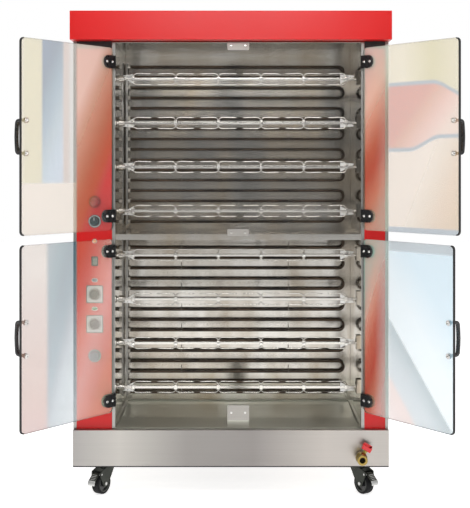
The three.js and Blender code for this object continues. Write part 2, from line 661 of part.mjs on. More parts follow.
// A wing handle across the valve's stem, its two tips turned up.
function drainLever() {
  const { seat, thickness, halfLength, halfWidth, waist, tip, hub: hubRadius } = LEVER;
  const hub = rod(hubRadius, [0, 0, seat], [0, 0, seat + thickness], 16);
  const wings = slab([
    [-halfLength, seat], [halfLength, seat], [halfLength, seat + tip], [hubRadius, seat + waist],
    [-hubRadius, seat + waist], [-halfLength, seat + tip],
  ], 'y', -halfWidth, halfWidth);
  return joined(hub, wings).subtract(rod(PIN.radius + 0.6, [0, 0, seat - 5], [0, 0, seat + 20], 16));
}

// ---- Casters ------------------------------------------------------------------------------------
// A caster is drawn with its wheel trailing towards -Y, about its swivel axis.

function casterFork(braked) {
  const { padBottom, king, crown, crownDepth, axleZ, axle: axleRadius, trail, legs, cheek } = CASTER;
  const top = padBottom - 2 * GAP;
  const outline = [[22, 104], [-20, 104], [-46, 74], [-44, 32], [-24, 28], [-12, 36], [22, 90]];
  if (braked) outline.splice(2, 1, [-62, 90], [-64, 72]);
  const cheeks = [-1, 1].map((side) => slab(outline, 'x', side * legs, side * (legs + cheek)));
  const crownDisc = rod(crown, [0, 0, top - crownDepth], [0, 0, top]);
  const axle = rod(axleRadius, [-legs - cheek - 1, -trail, axleZ], [legs + cheek + 1, -trail, axleZ]);
  const kingHole = rod(king + 0.8, [0, 0, 60], [0, 0, 120]);
  const fork = joined(crownDisc, ...cheeks, axle);
  if (!braked) return fork.subtract(kingHole);
  const pedalPin = rod(PEDAL.pin, [-legs - 1, -PEDAL.t, PEDAL.z], [legs + 1, -PEDAL.t, PEDAL.z]);
  return fork.add(pedalPin).subtract(kingHole);
}

// A wheel that stands on one of its flats, so its true radius is measured to the flats.
function casterWheel() {
  const { radius, sides, bore, halfWidth } = WHEEL;
  const rim = radius / Math.cos(Math.PI / sides);
  const profile = [
    [bore, -halfWidth], [rim - 9, -halfWidth], [rim - 2, -halfWidth - 1.5], [rim, -halfWidth + 3],
    [rim, halfWidth - 3], [rim - 2, halfWidth + 1.5], [rim - 9, halfWidth], [bore, halfWidth],
    [bore, -halfWidth],
  ];
  const wheel = turned(profile, sides).rotateY(Math.PI / sides).rotateZ(-Math.PI / 2);
  return toSolid(wheel.translate(0, -CASTER.trail, CASTER.axleZ));
}

// A foot pedal hinged between the fork's cheeks, reaching down and away from the wheel.
function brakePedal() {
  const { t, z, hub, pin, halfWidth } = PEDAL;
  const barrel = rod(hub, [-halfWidth, -t, z], [halfWidth, -t, z]);
  const plate = slab([
    [-t, z + 4], [-t - 8, z + 3], [-t - 36, z - 22], [-t - 37, z - 34], [-t - 33, z - 34],
    [-t - 32, z - 24], [-t - 4, z - 3],
  ], 'x', -halfWidth, halfWidth);
  const hole = rod(pin + 0.6, [-30, -t, z], [30, -t, z]);
  return joined(barrel, plate).subtract(hole);
}

function addCaster({ name, x, y, angle, braked }) {
  const caster = new THREE.Group();
  caster.position.set(x, y, 0);
  caster.rotation.z = THREE.MathUtils.degToRad(angle);
  oven.add(caster);
  add(`caster_fork_${name}`, casterFork(braked), zinc, caster);
  add(`caster_wheel_${name}`, casterWheel(), rubber, caster);
  if (braked) add(`brake_pedal_${name}`, brakePedal(), brushedSteel, caster);
}

// ---- Putting it together ------------------------------------------------------------------------

add('base_plinth', basePlinth(), brushedSteel);
add('drip_pan', dripPan(), brushedSteel);
add('left_column', controlColumn(), redPaint);
add('right_column', column(CABINET.halfWidth - SIDE_FLANGE - GAP, OPENING.right), redPaint);
add('left_side_panel', sidePanel(-1), brushedSteel);
add('right_side_panel', sidePanel(1), brushedSteel);
add('canopy', canopy(), redPaint);
add('rear_panel', rearPanel(), brushedSteel);
add('left_inner_wall', leftInnerWall(), mirrorSteel);
add('right_inner_wall', rightInnerWall(), mirrorSteel);
add('cavity_liner', cavityLiner(), mirrorSteel);
add('mid_divider', midDivider(), mirrorSteel);
add('left_door_jamb', doorJamb(-1), brushedSteel);
add('right_door_jamb', doorJamb(1), brushedSteel);
add('upper_heaters', heaterBank(HEATER_TOPS.upper), heaterSteel);
add('lower_heaters', heaterBank(HEATER_TOPS.lower), heaterSteel);

for (const pair of PAIRS) {
  addDoor(-1, pair);
  addDoor(1, pair);
}

spitHeights.forEach((z, i) => add(`spit_${i + 1}`, spit(z), spitSteel));
add('drive_chain', driveChain(), zinc);
add('gearmotor', gearmotor(), castAluminium);

add('start_button', startButton(), redPlastic);
for (const { name, z, radius, color } of KNOBS) {
  add(name, rotaryKnob(radius, z), finish(color, 0.4, 0.1));
}
add('rocker_switch', rockerSwitch(), blackPlastic);

add('drain_valve', drainValve(), brass);
const leverGroup = new THREE.Group();
leverGroup.position.set(VALVE.x, LEVER.y, VALVE.z);
leverGroup.rotation.y = THREE.MathUtils.degToRad(LEVER.lean);
oven.add(leverGroup);
add('drain_lever', drainLever(), redPlastic, leverGroup);

CASTERS.forEach(addCaster);

// The origin is the middle of the whole oven's footprint, doors open, on the floor.
oven.updateMatrixWorld(true);
const bounds = new THREE.Box3().setFromObject(oven, true);
const middle = bounds.getCenter(new THREE.Vector3());
oven.position.set(-middle.x, -middle.y, -bounds.min.z);

export default oven;
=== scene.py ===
# The looks of a floor-standing rotisserie oven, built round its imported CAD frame.
# Named lengths are in millimetres, in the cabinet's own layout: x = 0 at the cabinet's middle, y = 0 at
# the columns' front face and z = 0 on the floor. Places come from the CAD nodes' boxes and joints.
import json
import math

import bmesh
import bpy
from mathutils import Matrix, Vector


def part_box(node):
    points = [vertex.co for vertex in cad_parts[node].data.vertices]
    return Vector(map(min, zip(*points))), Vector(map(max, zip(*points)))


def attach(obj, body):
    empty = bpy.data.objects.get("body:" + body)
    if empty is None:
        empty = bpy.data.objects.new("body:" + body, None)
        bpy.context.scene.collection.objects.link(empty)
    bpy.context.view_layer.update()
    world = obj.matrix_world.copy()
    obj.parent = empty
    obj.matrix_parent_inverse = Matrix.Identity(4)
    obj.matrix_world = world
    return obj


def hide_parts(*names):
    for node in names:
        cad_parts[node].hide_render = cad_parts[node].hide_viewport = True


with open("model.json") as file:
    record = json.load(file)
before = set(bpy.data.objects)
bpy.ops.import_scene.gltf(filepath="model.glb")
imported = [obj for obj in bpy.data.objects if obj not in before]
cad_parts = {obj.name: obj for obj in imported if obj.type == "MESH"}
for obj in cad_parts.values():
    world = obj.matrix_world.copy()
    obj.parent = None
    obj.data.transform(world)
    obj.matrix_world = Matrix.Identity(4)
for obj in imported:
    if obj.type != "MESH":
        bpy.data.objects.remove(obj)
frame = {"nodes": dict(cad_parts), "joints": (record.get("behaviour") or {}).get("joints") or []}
NODES = frame["nodes"]
JOINTS = {joint["name"]: joint for joint in frame["joints"]}
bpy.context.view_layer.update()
MM = 0.001


def turn(degrees, axis):
    return Matrix.Rotation(math.radians(degrees), 4, axis)


def moved(x, y, z):
    return Matrix.Translation((x, y, z))


canopy_low, canopy_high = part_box("canopy")
ORIGIN = Vector(((canopy_low.x + canopy_high.x) / 2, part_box("left_column")[0].y, 0))
CABINET = Matrix.Translation(ORIGIN)
FORWARD = turn(90, "X")  # a page's z axis points out of the cabinet's front
REARWARD = turn(-90, "X")
SIDEWAYS = Matrix(((0, 0, 1, 0), (1, 0, 0, 0), (0, 1, 0, 0), (0, 0, 0, 1)))  # a page drawn as (y, z)


def layout_box(node):
    """A CAD node's lowest and highest corner in the cabinet's layout, in millimetres."""
    low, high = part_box(node)
    return (low - ORIGIN) / MM, (high - ORIGIN) / MM


def joint_place(name):
    """A joint's point in the cabinet's layout, in millimetres."""
    return (Vector(JOINTS[name]["pos_m"]) - ORIGIN) / MM


def linked(name, data):
    """A new object in the scene."""
    item = bpy.data.objects.new(name, data)
    bpy.context.scene.collection.objects.link(item)
    return item


# ---- Camera ----

CAMERA = {"x": 15.4, "y": -4280, "z": 1236, "lens": 80.8, "shift_y": -0.173}


def make_camera():
    data = bpy.data.cameras.new("camera")
    data.lens = CAMERA["lens"]
    data.shift_y = CAMERA["shift_y"]
    camera = linked("camera", data)
    camera.location = ORIGIN + Vector((CAMERA["x"], CAMERA["y"], CAMERA["z"])) * MM
    camera.rotation_euler = (math.radians(90), 0, 0)
    bpy.context.scene.camera = camera


make_camera()

# ---- Materials ----


def scaled(colour, factor):
    return tuple(min(1, value * factor) for value in colour)


class Nodes:
    """The node tree of a material or of the world."""

    def __init__(self, owner):
        owner.use_nodes = True
        self.tree = owner.node_tree

    def node(self, kind, **inputs):
        """A node with its sockets linked to other nodes' outputs or set to plain values."""
        node = self.tree.nodes.new(f"ShaderNode{kind}")
        for name, value in inputs.items():
            self.fill(node.inputs[name.replace("_", " ")], value)
        return node

    def fill(self, socket, value):
        if isinstance(value, bpy.types.NodeSocket):
            self.tree.links.new(value, socket)
        else:
            socket.default_value = value

    def ranged(self, value, low, high, start=0.3, end=0.7):
        """The value from start to end, spread over low to high."""
        return self.node("MapRange", Value=value, From_Min=start, From_Max=end, To_Min=low,
                         To_Max=high).outputs["Result"]


class Shader(Nodes):
    """A procedural material: one Principled shader and the nodes that vary it."""

    def __init__(self, name, **settings):
        self.material = bpy.data.materials.new(name)
        super().__init__(self.material)
        self.surface = self.tree.nodes["Principled BSDF"]
        for key, value in settings.items():
            self.surface.inputs[key.replace("_", " ")].default_value = value
        self.coordinates = self.node("TexCoord").outputs["Object"]

    def noise(self, scale, stretch=(1, 1, 1), detail=3.0):
        """Noise in the object's own coordinates. Stretch multiplies how fine it is along each axis."""
        mapping = self.node("Mapping", Vector=self.coordinates, Scale=stretch)
        texture = self.node("TexNoise", Vector=mapping.outputs["Vector"], Scale=scale, Detail=detail)
        return texture.outputs["Fac"]

    def split(self):
        """The object's own x, y and z, in metres."""
        return self.node("SeparateXYZ", Vector=self.coordinates).outputs

    def mixed(self, factor, first, second):
        """A colour between two, each given as a colour or as another node's output."""
        node = self.node("Mix")
        node.data_type = "RGBA"
        self.fill(node.inputs[0], factor)
        for socket, colour in ((node.inputs[6], first), (node.inputs[7], second)):
            self.fill(socket, (*colour, 1) if isinstance(colour, tuple) else colour)
        return node.outputs[2]

    def math(self, operation, first, second=0.0):
        node = self.node("Math")
        node.operation = operation
        self.fill(node.inputs[0], first)
        self.fill(node.inputs[1], second)
        return node.outputs[0]

    def ramp(self, value, stops):
        """A colour along a value, from (place, colour) stops in rising order."""
        start, end = stops[0][0], stops[-1][0]
        node = self.node("ValToRGB", Fac=self.ranged(value, 0, 1, start, end))
        marks = node.color_ramp.elements
        while len(marks) < len(stops):
            marks.new(0.5)
        for mark, (place, colour) in zip(marks, stops):
            mark.position = (place - start) / (end - start)
            mark.color = (*colour, 1)
        return node.outputs["Color"]

    def finish(self, colour, roughness=None, height=None, depth=0.0):
        """Sets what varies: the colour, and the roughness and the bump where they are given."""
        self.fill(self.surface.inputs["Base Color"], colour)
        if roughness:
            self.fill(self.surface.inputs["Roughness"], roughness)
        if height:
            bump = self.node("Bump", Distance=depth, Strength=1.0, Height=height)
            self.fill(self.surface.inputs["Normal"], bump.outputs["Normal"])
        return self.material


def red_paint():
    paint = Shader("red_paint", Coat_Weight=0.35, Coat_Roughness=0.2, Specular_IOR_Level=0.2)
    tone = paint.ranged(paint.noise(1.6, detail=2), 0, 1)
    colour = paint.mixed(tone, (0.58, 0.006, 0.006), (0.64, 0.008, 0.008))
    gloss = paint.ranged(paint.noise(14, detail=5), 0.3, 0.4)
    return paint.finish(colour, gloss, paint.noise(420, detail=2), 0.00012)


def brushed_steel(name, stretch, dark, light, smooth=0.24, rough=0.4):
    """Stainless sheet with brush lines along the axis whose stretch is low."""
    steel = Shader(name, Metallic=1)
    lines = steel.noise(1, stretch=stretch, detail=4)
    cloud = steel.ranged(steel.noise(2.2), 0, 1, 0.25, 0.75)
    shade = steel.mixed(steel.ranged(lines, 0, 1), dark, light)
    colour = steel.mixed(steel.ranged(cloud, 0, 0.35, 0, 1), shade, scaled(dark, 0.9))
    return steel.finish(colour, steel.ranged(lines, smooth, rough), lines, 0.00006)


def plinth_steel():
    """Brushed sheet with a painted reflection: darker towards the middle of its length, lighter towards its
    ends.
    """
    steel = Shader("plinth_steel", Metallic=1)
    # Painted reflection along the length: lighter near the ends, darker in the middle.
    reflection_tone = steel.ramp(steel.split()["X"], [
        (-0.62, (0.38, 0.365, 0.35)), (-0.45, (0.51, 0.49, 0.455)), (-0.2, (0.30, 0.285, 0.27)),
        (0.05, (0.28, 0.262, 0.25)), (0.32, (0.50, 0.465, 0.43)), (0.56, (0.48, 0.45, 0.42))])
    lines = steel.noise(1, stretch=(2, 1500, 1500), detail=4)
    colour = steel.mixed(steel.ranged(lines, 0, 0.14), reflection_tone, (0.2, 0.19, 0.18))
    return steel.finish(colour, steel.ranged(lines, 0.3, 0.42), lines, 0.00004)


def mirror_steel(name, smooth, rough):
    """Polished sheet with soft brown patches of painted reflection, laid on like a thin film."""
    steel = Shader(name, Metallic=1)
    haze = steel.noise(7, stretch=(1, 1, 0.35), detail=4)
    # The brown patches are painted reflection, mixed into the steel's colour by the noise.
    colour = steel.mixed(steel.ranged(haze, 0, 1, 0.38, 0.7), (0.60, 0.58, 0.54), (0.43, 0.37, 0.29))
    return steel.finish(colour, steel.ranged(haze, smooth, rough), steel.noise(3.5, detail=1), 0.0009)


# The tint beside the hinge is painted light and shade, laid over the column behind the glass.
COLUMN_EDGE = 0.01  # how softly the tint beside the hinge ends, in metres
FADE = (0.066, 0.116)  # where that tint starts and ends its turn to another colour, in metres
# Colours of painted reflections on the glass.
CREAM_REFLECTION, WARM_WHITE_REFLECTION = (0.68, 0.60, 0.34), (0.80, 0.69, 0.57)


class Pane(Shader):
    """Toughened door glass with painted reflections, whose colour changes across the pane.

    Across is the distance from the hinge and height the distance from the floor, both in metres.
    """

    def __init__(self, side, haze, column_end):
        super().__init__(f"glass_{side}", Roughness=0.03, Alpha=haze, IOR=1.5, Specular_IOR_Level=0.3)
        self.haze = haze
        self.column_end = column_end
        place = self.split()
        self.across = self.math("ABSOLUTE", place["X"])
        self.height = place["Z"]

    def step(self, value, start, end):
        """Rises smoothly from 0 to 1 between start and end."""
        result = self.ranged(value, 0, 1, start, end)
        result.node.interpolation_type = "SMOOTHSTEP"
        return result

    def product(self, first, second):
        return self.math("MULTIPLY", first, second)

    def lean(self, slope):
        """The height, tilted by a slope across the pane."""
        return self.math("ADD", self.height, self.product(self.across, slope))

    def paint_reflections(self, reflection_colour, slope, stops, hazes=(), fade=None):
        """Finishes the pane with its painted reflections, and with painted light and shade of its own beside
        the hinge, before the column's end.

        Each stop is a tilted height and a colour, and may have a haze of its own. A fade is how far that
        painted colour turns to another colour.
        """
        near = self.ranged(self.across, 1, 0, self.column_end - COLUMN_EDGE, self.column_end)
        tilted = self.lean(slope)
        # The stops paint light and shade beside the hinge, over the column.
        beside = self.ramp(tilted, stops)
        if fade:
            strength, colour = fade
            beside = self.mixed(self.ranged(self.across, 0, strength, *FADE), beside, colour)
        if hazes:
            haze = self.ramp(tilted, [(height, (haze,) * 3) for (height, colour), haze in zip(stops, hazes)])
            self.fill(self.surface.inputs["Alpha"], self.mixed(near, (self.haze,) * 3, haze))
        return self.finish(self.mixed(near, reflection_colour, beside))


def left_upper_glass():
    """Painted reflections: a blue-grey band in the upper part, between a cream edge and a blush."""
    pane = Pane("left_upper", 0.35, 0.2)
    band = pane.ramp(pane.lean(2.1), [
        (1.85, (0.44, 0.55, 0.67)), (2.0, (0.32, 0.44, 0.51)), (2.11, (0.165, 0.29, 0.39)),
        (2.17, (0.10, 0.22, 0.31)), (2.28, (0.0, 0.07, 0.165)), (2.4, (0.0, 0.08, 0.20))])
    outside = pane.ramp(pane.across, [
        (0.2, (0.62, 0.60, 0.56)), (0.225, (0.62, 0.60, 0.56)), (0.238, (0.56, 0.42, 0.35)),
        (0.262, (0.56, 0.42, 0.35)), (0.36, CREAM_REFLECTION), (0.44, CREAM_REFLECTION), (0.48, WARM_WHITE_REFLECTION)])
    inside = pane.product(pane.step(pane.across, 0.258, 0.266), pane.step(pane.across, 0.368, 0.360))
    reflection_colour = pane.mixed(inside, outside, band)
    reflection_colour = pane.mixed(pane.step(pane.height, 1.184, 1.170), reflection_colour, WARM_WHITE_REFLECTION)
    return pane.paint_reflections(reflection_colour, 1.8, [
        (1.25, (0.36, 0.40, 0.38)), (1.34, (0.42, 0.31, 0.16)), (1.42, (0.46, 0.30, 0.17)),
        (1.5, (0.54, 0.36, 0.22)), (1.6, (0.67, 0.46, 0.32)), (1.67, (0.73, 0.57, 0.42)),
        (1.8, (0.95, 0.84, 0.73)), (1.95, (0.90, 0.82, 0.72))],
        (0.08, 0.2, 0.27, 0.33, 0.38, 0.4, 0.42, 0.42))


def left_lower_glass():
    """Painted reflections: a blue-grey band down the whole pane, and an edge that turns pink towards its
    foot.
    """
    pane = Pane("left_lower", 0.37, 0.2)
    edge = pane.ramp(pane.height, [
        (0.26, (0.45, 0.16, 0.137)), (0.43, (0.43, 0.19, 0.12)), (0.58, (0.48, 0.28, 0.21)),
        (0.73, (0.58, 0.42, 0.36)), (0.88, (0.68, 0.58, 0.51))])
    band = pane.ramp(pane.lean(3.2), [
        (1.1, (0.42, 0.49, 0.54)), (1.2, (0.34, 0.43, 0.476)), (1.35, (0.25, 0.32, 0.38)),
        (1.42, (0.12, 0.19, 0.25)), (1.52, (0.0, 0.115, 0.18)), (1.67, (0.0, 0.09, 0.15)),
        (1.8, (0.05, 0.167, 0.214)), (1.98, (0.16, 0.235, 0.275))])
    reflection_colour = pane.mixed(pane.step(pane.across, 0.328, 0.35), band, edge)
    return pane.paint_reflections(reflection_colour, 2.2, [
        (0.56, (0.86, 0.88, 0.66)), (0.66, (0.90, 0.98, 0.84)), (0.83, (1.0, 0.95, 0.88)),
        (1.0, (0.98, 0.92, 0.78)), (1.14, (0.62, 0.62, 0.52)), (1.3, (0.40, 0.44, 0.26))],
        (0.18, 0.18, 0.24, 0.18, 0.13, 0.1))


def right_upper_glass():
    """Painted reflections: a peach field between two curved blue-grey outlines, cream above and beige below
    it.
    """
    pane = Pane("right_upper", 0.35, 0.137)
    across = pane.across
    # Away from the hinge the lower outline rises and the upper one falls.
    rise = pane.product(pane.step(across, 0.23, 0.38), -0.045)
    fall = pane.product(pane.step(across, 0.34, 0.5), 0.055)
    upper = pane.step(pane.height, 1.36, 1.46)
    bend = pane.math("ADD", pane.product(pane.math("SUBTRACT", 1.0, upper), rise), pane.product(upper, fall))
    level = pane.math("ADD", pane.height, bend)
    field = pane.ramp(pane.lean(-1.05), [
        (0.95, (0.77, 0.55, 0.42)), (1.0, (0.77, 0.46, 0.35)), (1.06, (0.71, 0.34, 0.22)),
        (1.12, (0.63, 0.23, 0.08)), (1.17, (0.59, 0.12, 0.02)), (1.27, (0.59, 0.10, 0.01))])
    above = pane.ramp(across, [
        (0.2, (0.76, 0.67, 0.45)), (0.34, (0.60, 0.52, 0.20)), (0.48, (0.70, 0.61, 0.38))])
    below = pane.ramp(pane.lean(-2), [
        (0.15, (0.60, 0.39, 0.17)), (0.32, (0.67, 0.46, 0.27)), (0.48, (0.73, 0.58, 0.42)),
        (0.64, (0.80, 0.67, 0.54))])
    reflection_colour = pane.mixed(pane.step(level, 1.533, 1.527), above, field)
    reflection_colour = pane.mixed(pane.step(level, 1.297, 1.291), reflection_colour, below)
    for middle in (1.532, 1.295):
        line = [pane.step(level, middle + side * 0.011, middle + side * 0.002) for side in (-1, 1)]
        reflection_colour = pane.mixed(pane.product(*line), reflection_colour, (0.20, 0.28, 0.34))
    reflection_colour = pane.mixed(pane.step(pane.height, 1.018, 1.014), reflection_colour, (0.22, 0.30, 0.37))
    return pane.paint_reflections(reflection_colour, -1.3, [
        (0.94, (0.64, 0.56, 0.42)), (1.04, (0.68, 0.38, 0.24)), (1.16, (0.46, 0.17, 0.10)),
        (1.24, (0.52, 0.23, 0.13)), (1.34, (0.75, 0.52, 0.36)), (1.43, (0.95, 0.84, 0.66)),
        (1.6, (0.85, 0.86, 0.76))], fade=(0.3, (0.35, 0.80, 0.74)))


def right_lower_glass():
    """Painted reflections: pale sky over a grey band that runs down to the corner, blush below it and a grey
    brow on top.
    """
    pane = Pane("right_lower", 0.35, 0.147)
    reflection_colour = pane.ramp(pane.lean(1.15), [
        (0.50, (0.69, 0.52, 0.50)), (0.63, (0.66, 0.44, 0.38)), (0.645, (0.36, 0.45, 0.51)),
        (0.74, (0.30, 0.40, 0.46)), (0.84, (0.02, 0.16, 0.21)), (0.852, (0.68, 0.79, 0.84)),
        (1.0, (0.66, 0.78, 0.84)), (1.2, (0.48, 0.69, 0.81))])
    reflection_colour = pane.mixed(pane.step(pane.height, 0.926, 0.934), reflection_colour, (0.20, 0.29, 0.35))
    return pane.paint_reflections(reflection_colour, -2.6, [
        (0.12, (0.75, 0.58, 0.50)), (0.22, (0.62, 0.34, 0.22)), (0.34, (0.44, 0.15, 0.09)),
        (0.47, (0.54, 0.24, 0.15)), (0.56, (0.70, 0.47, 0.33)), (0.64, (0.74, 0.72, 0.58)),
        (0.75, (0.56, 0.80, 0.68))], fade=(0.6, (0.50, 0.82, 0.80)))


def plain(name, colour, roughness, metallic=0.0, spread=0.12, grain=60, depth=0.00008, **more):
    """A finish whose tone and gloss vary by a small grain: moulded plastic, cast or turned metal."""
    shader = Shader(name, Metallic=metallic, **more)
    tone = shader.ranged(shader.noise(grain / 6, detail=4), 0, 1)
    colour = shader.mixed(tone, scaled(colour, 1 - spread), scaled(colour, 1 + spread))
    gloss = shader.ranged(shader.noise(grain), roughness * 0.82, roughness * 1.18)
    return shader.finish(colour, gloss, shader.noise(grain * 9, detail=2), depth)


def heater_sheath():
    """Steel sheath blued and browned by heat, in bands along the tube."""
    sheath = Shader("heater_steel", Metallic=0.85)
    bands = sheath.ranged(sheath.noise(6, stretch=(1, 0.2, 0.2), detail=4), 0, 1)
    colour = sheath.mixed(bands, (0.045, 0.042, 0.040), (0.14, 0.10, 0.07))
    return sheath.finish(colour, sheath.ranged(sheath.noise(90), 0.38, 0.55), sheath.noise(600), 0.00005)


def lamp_lens(name, colour, glow):
    """A translucent pilot lens with a faint light of its own."""
    lens = Shader(name, Roughness=0.16, Coat_Weight=0.5, Coat_Roughness=0.05, Emission_Strength=glow)
    core = lens.ranged(lens.noise(130, detail=1), 0, 1)
    lens.surface.inputs["Emission Color"].default_value = (*colour, 1)
    return lens.finish(lens.mixed(core, scaled(colour, 0.75), colour))


RED = red_paint()
BRUSHED_UP = brushed_steel("brushed_steel_upright", (1500, 1500, 2), (0.34, 0.33, 0.31), (0.42, 0.41, 0.39))
PLINTH_STEEL = plinth_steel()
MIRROR = mirror_steel("mirror_steel", 0.12, 0.24)
WALL_MIRROR = mirror_steel("mirror_steel_wall", 0.04, 0.10)
CATCH_STEEL = brushed_steel("catch_steel", (2, 900, 900), (0.38, 0.36, 0.33), (0.46, 0.44, 0.41), 0.35, 0.5)
PAN_STEEL = brushed_steel("pan_steel", (2, 60, 60), (0.46, 0.46, 0.40), (0.60, 0.60, 0.53), 0.3, 0.5)
GLASS = {
    "left_upper": left_upper_glass(),
    "left_lower": left_lower_glass(),
    "right_upper": right_upper_glass(),
    "right_lower": right_lower_glass(),
}
GLASS_EDGE = plain("glass_edge", (0.012, 0.020, 0.018), 0.12, spread=0.2)
BLACK = plain("black_plastic", (0.012, 0.012, 0.013), 0.28, grain=80, Coat_Weight=0.2)
CHROME = plain("bright_screws", (0.72, 0.71, 0.69), 0.16, metallic=1, spread=0.06)
SPIT_STEEL = brushed_steel("spit_steel", (6, 900, 900), (0.60, 0.57, 0.52), (0.78, 0.76, 0.72), 0.16, 0.3)
HEATER = heater_sheath()
CERAMIC = plain("ceramic", (0.74, 0.71, 0.64), 0.5, spread=0.05)
BRASS = plain("brass", (0.36, 0.26, 0.075), 0.3, metallic=1, spread=0.3, grain=40)
BORE = plain("dark_bore", (0.01, 0.009, 0.008), 0.6)
RED_PLASTIC = plain("red_plastic", (0.66, 0.010, 0.014), 0.24, spread=0.06, Coat_Weight=0.3)
BUTTON_RED = plain("button_red", (0.34, 0.006, 0.008), 0.22, spread=0.08, Coat_Weight=0.4)
DARK_KNOB = plain("dark_knob", (0.010, 0.026, 0.030), 0.34, Specular_IOR_Level=0.2)
GREY_KNOB = plain("grey_knob", (0.012, 0.024, 0.034), 0.4, Specular_IOR_Level=0.1)
CASTER_RIM = plain("caster_rim", (0.045, 0.048, 0.044), 0.42, Specular_IOR_Level=0.3)
LIGHT_KNOB = plain("light_knob", (0.11, 0.12, 0.17), 0.36, Specular_IOR_Level=0.2)
TRIM = plain("trim_plate", (0.50, 0.53, 0.52), 0.35, metallic=0.25, spread=0.05)
END_PLATE = plain("end_plate", (0.84, 0.83, 0.80), 0.3, metallic=0.35, spread=0.06)
ROCKER = plain("rocker_plastic", (0.17, 0.20, 0.17), 0.35)
RUBBER = plain("rubber", (0.010, 0.010, 0.011), 0.62, spread=0.25, grain=120, depth=0.0002,
               Specular_IOR_Level=0.15)
# Black rubber for the doors' edge trims, a dark strip at the plinth's foot, and painted shade for the strips
# below the canopy.
SEAL_AND_SHADE = plain("seal_rubber_and_painted_shade", (0.008, 0.008, 0.008), 0.6)
ZINC = plain("zinc", (0.050, 0.054, 0.046), 0.42, metallic=0.9, spread=0.22, grain=36)
PEDAL = plain("pedal_zinc", (0.60, 0.60, 0.59), 0.3, metallic=1, spread=0.12)
CAST = plain("cast_aluminium", (0.34, 0.35, 0.36), 0.5, metallic=0.9, spread=0.15, depth=0.0003)
MARK_WHITE = plain("mark_white", (0.75, 0.75, 0.73), 0.4, spread=0.04)
# Dark print for dial marks and pointers, and painted shade for the dark outlines round the dial plates.
DARK_PRINT_AND_SHADE = plain("dark_print_and_painted_shade", (0.03, 0.03, 0.03), 0.4)
AMBER = lamp_lens("amber_lens", (0.80, 0.34, 0.16), 0.15)
GREEN = lamp_lens("green_lens", (0.05, 0.26, 0.10), 0.1)
BLUE_GREY = lamp_lens("blue_grey_lens", (0.08, 0.12, 0.16), 0.05)

# ---- Solids ----


def skinned(rings, looped=False):
    """A closed skin over rings of points. Ends are capped unless the rings loop back to the first."""
    solid = bmesh.new()
    rows = [[solid.verts.new(point) for point in ring] for ring in rings]
    count = len(rows[0])
    for near, far in zip(rows, rows[1:] + (rows[:1] if looped else [])):
        for i in range(count):
            j = (i + 1) % count
            solid.faces.new((near[i], near[j], far[j], far[i]))
    if not looped:
        solid.faces.new(rows[0])
        solid.faces.new(rows[-1])
    bmesh.ops.remove_doubles(solid, verts=solid.verts, dist=1e-4)
    bmesh.ops.dissolve_degenerate(solid, edges=solid.edges, dist=1e-4)
    bmesh.ops.recalc_face_normals(solid, faces=solid.faces)
    return solid


def rounded(solid, width, segments=2, sharper_than=30):
    """The solid with its sharp edges rounded over."""
    limit = math.radians(sharper_than)
    edges = [e for e in solid.edges if len(e.link_faces) == 2 and e.calc_face_angle() > limit]
    bmesh.ops.bevel(solid, geom=edges, offset=width, segments=segments, profile=0.5,
                    affect="EDGES", clamp_overlap=True)
    return solid


def prism(outline, low, high, bevel=0.0):
    """An outline drawn as (x, y) and extruded along z."""
    solid = skinned([[(x, y, z) for x, y in outline] for z in (low, high)])
    return rounded(solid, bevel) if bevel else solid


def stood(page, outline, low, high, *rounding):
    """A prism drawn on a page, stood up, and then rounded."""
    solid = prism(outline, low, high)
    solid.transform(page)
    return rounded(solid, *rounding)


def cuboid(low, high, bevel=0.0):
    (x0, y0, z0), (x1, y1, z1) = low, high
    return prism([(x0, y0), (x1, y0), (x1, y1), (x0, y1)], z0, z1, bevel)


def circle(radius, z, sides, corners=0):
    """A level ring of points. With corners it follows a polygon that has that many."""
    points = []
    for i in range(sides):
        angle = 2 * math.pi * i / sides
        reach = radius
        if corners:
            sector = 2 * math.pi / corners
            reach = radius * math.cos(sector / 2) / math.cos(angle % sector - sector / 2)
        points.append((reach * math.cos(angle), reach * math.sin(angle), z))
    return points


def turned(profile, sides=48):
    """A profile of (radius, height) turned about z. A third number makes that ring a polygon."""
    return skinned([circle(max(step[0], 1e-3), step[1], sides, *step[2:]) for step in profile])


def rod(radius, low, high, sides, *corners):
    """A plain turned bar, or a bar with that many corners."""
    return turned([(0, low), (radius, low, *corners), (radius, high, *corners), (0, high)], sides)


def bolt_head(radius, straight, high):
    """A hexagon head with a chamfered face."""
    return turned([(0, 0), (radius, 0, 6), (radius, straight, 6), (radius - 1, high, 6), (0, high)], 36)


def mirrored(half):
    """A whole profile of (radius, height) from its upper half, given from the top down."""
    return [(radius, -height) for radius, height in half] + half[::-1]


def hoop(profile, sides=48):
    """A closed profile of (radius, height) turned about z into a ring."""
    return skinned([[(r * math.cos(a), r * math.sin(a), z) for r, z in profile]
                    for a in (2 * math.pi * i / sides for i in range(sides))], looped=True)


def swept(path, section, sizes=None):
    """A section of (across, up) points carried along a path, turning as little as it can."""
    path = [Vector(point) for point in path]
    tangents = []
    for i in range(len(path)):
        ahead = path[min(i + 1, len(path) - 1)]
        behind = path[max(i - 1, 0)]
        tangents.append((ahead - behind).normalized())
    start = Vector((0, 0, 1)) if abs(tangents[0].z) < 0.9 else Vector((1, 0, 0))
    across = tangents[0].cross(start).normalized()
    rings = []
    for point, tangent, size in zip(path, tangents, sizes or [1] * len(path)):
        across = (across - tangent * across.dot(tangent)).normalized()
        up = across.cross(tangent)
        rings.append([point + across * (u * size) + up * (v * size) for u, v in section])
    return skinned(rings)


def wire(path, radius, sides, sizes=None):
    """A round bar along a path, thinned by the sizes."""
    step = 2 * math.pi / sides
    section = [(radius * math.cos(step * i), radius * math.sin(step * i)) for i in range(sides)]
    return swept(path, section, sizes)


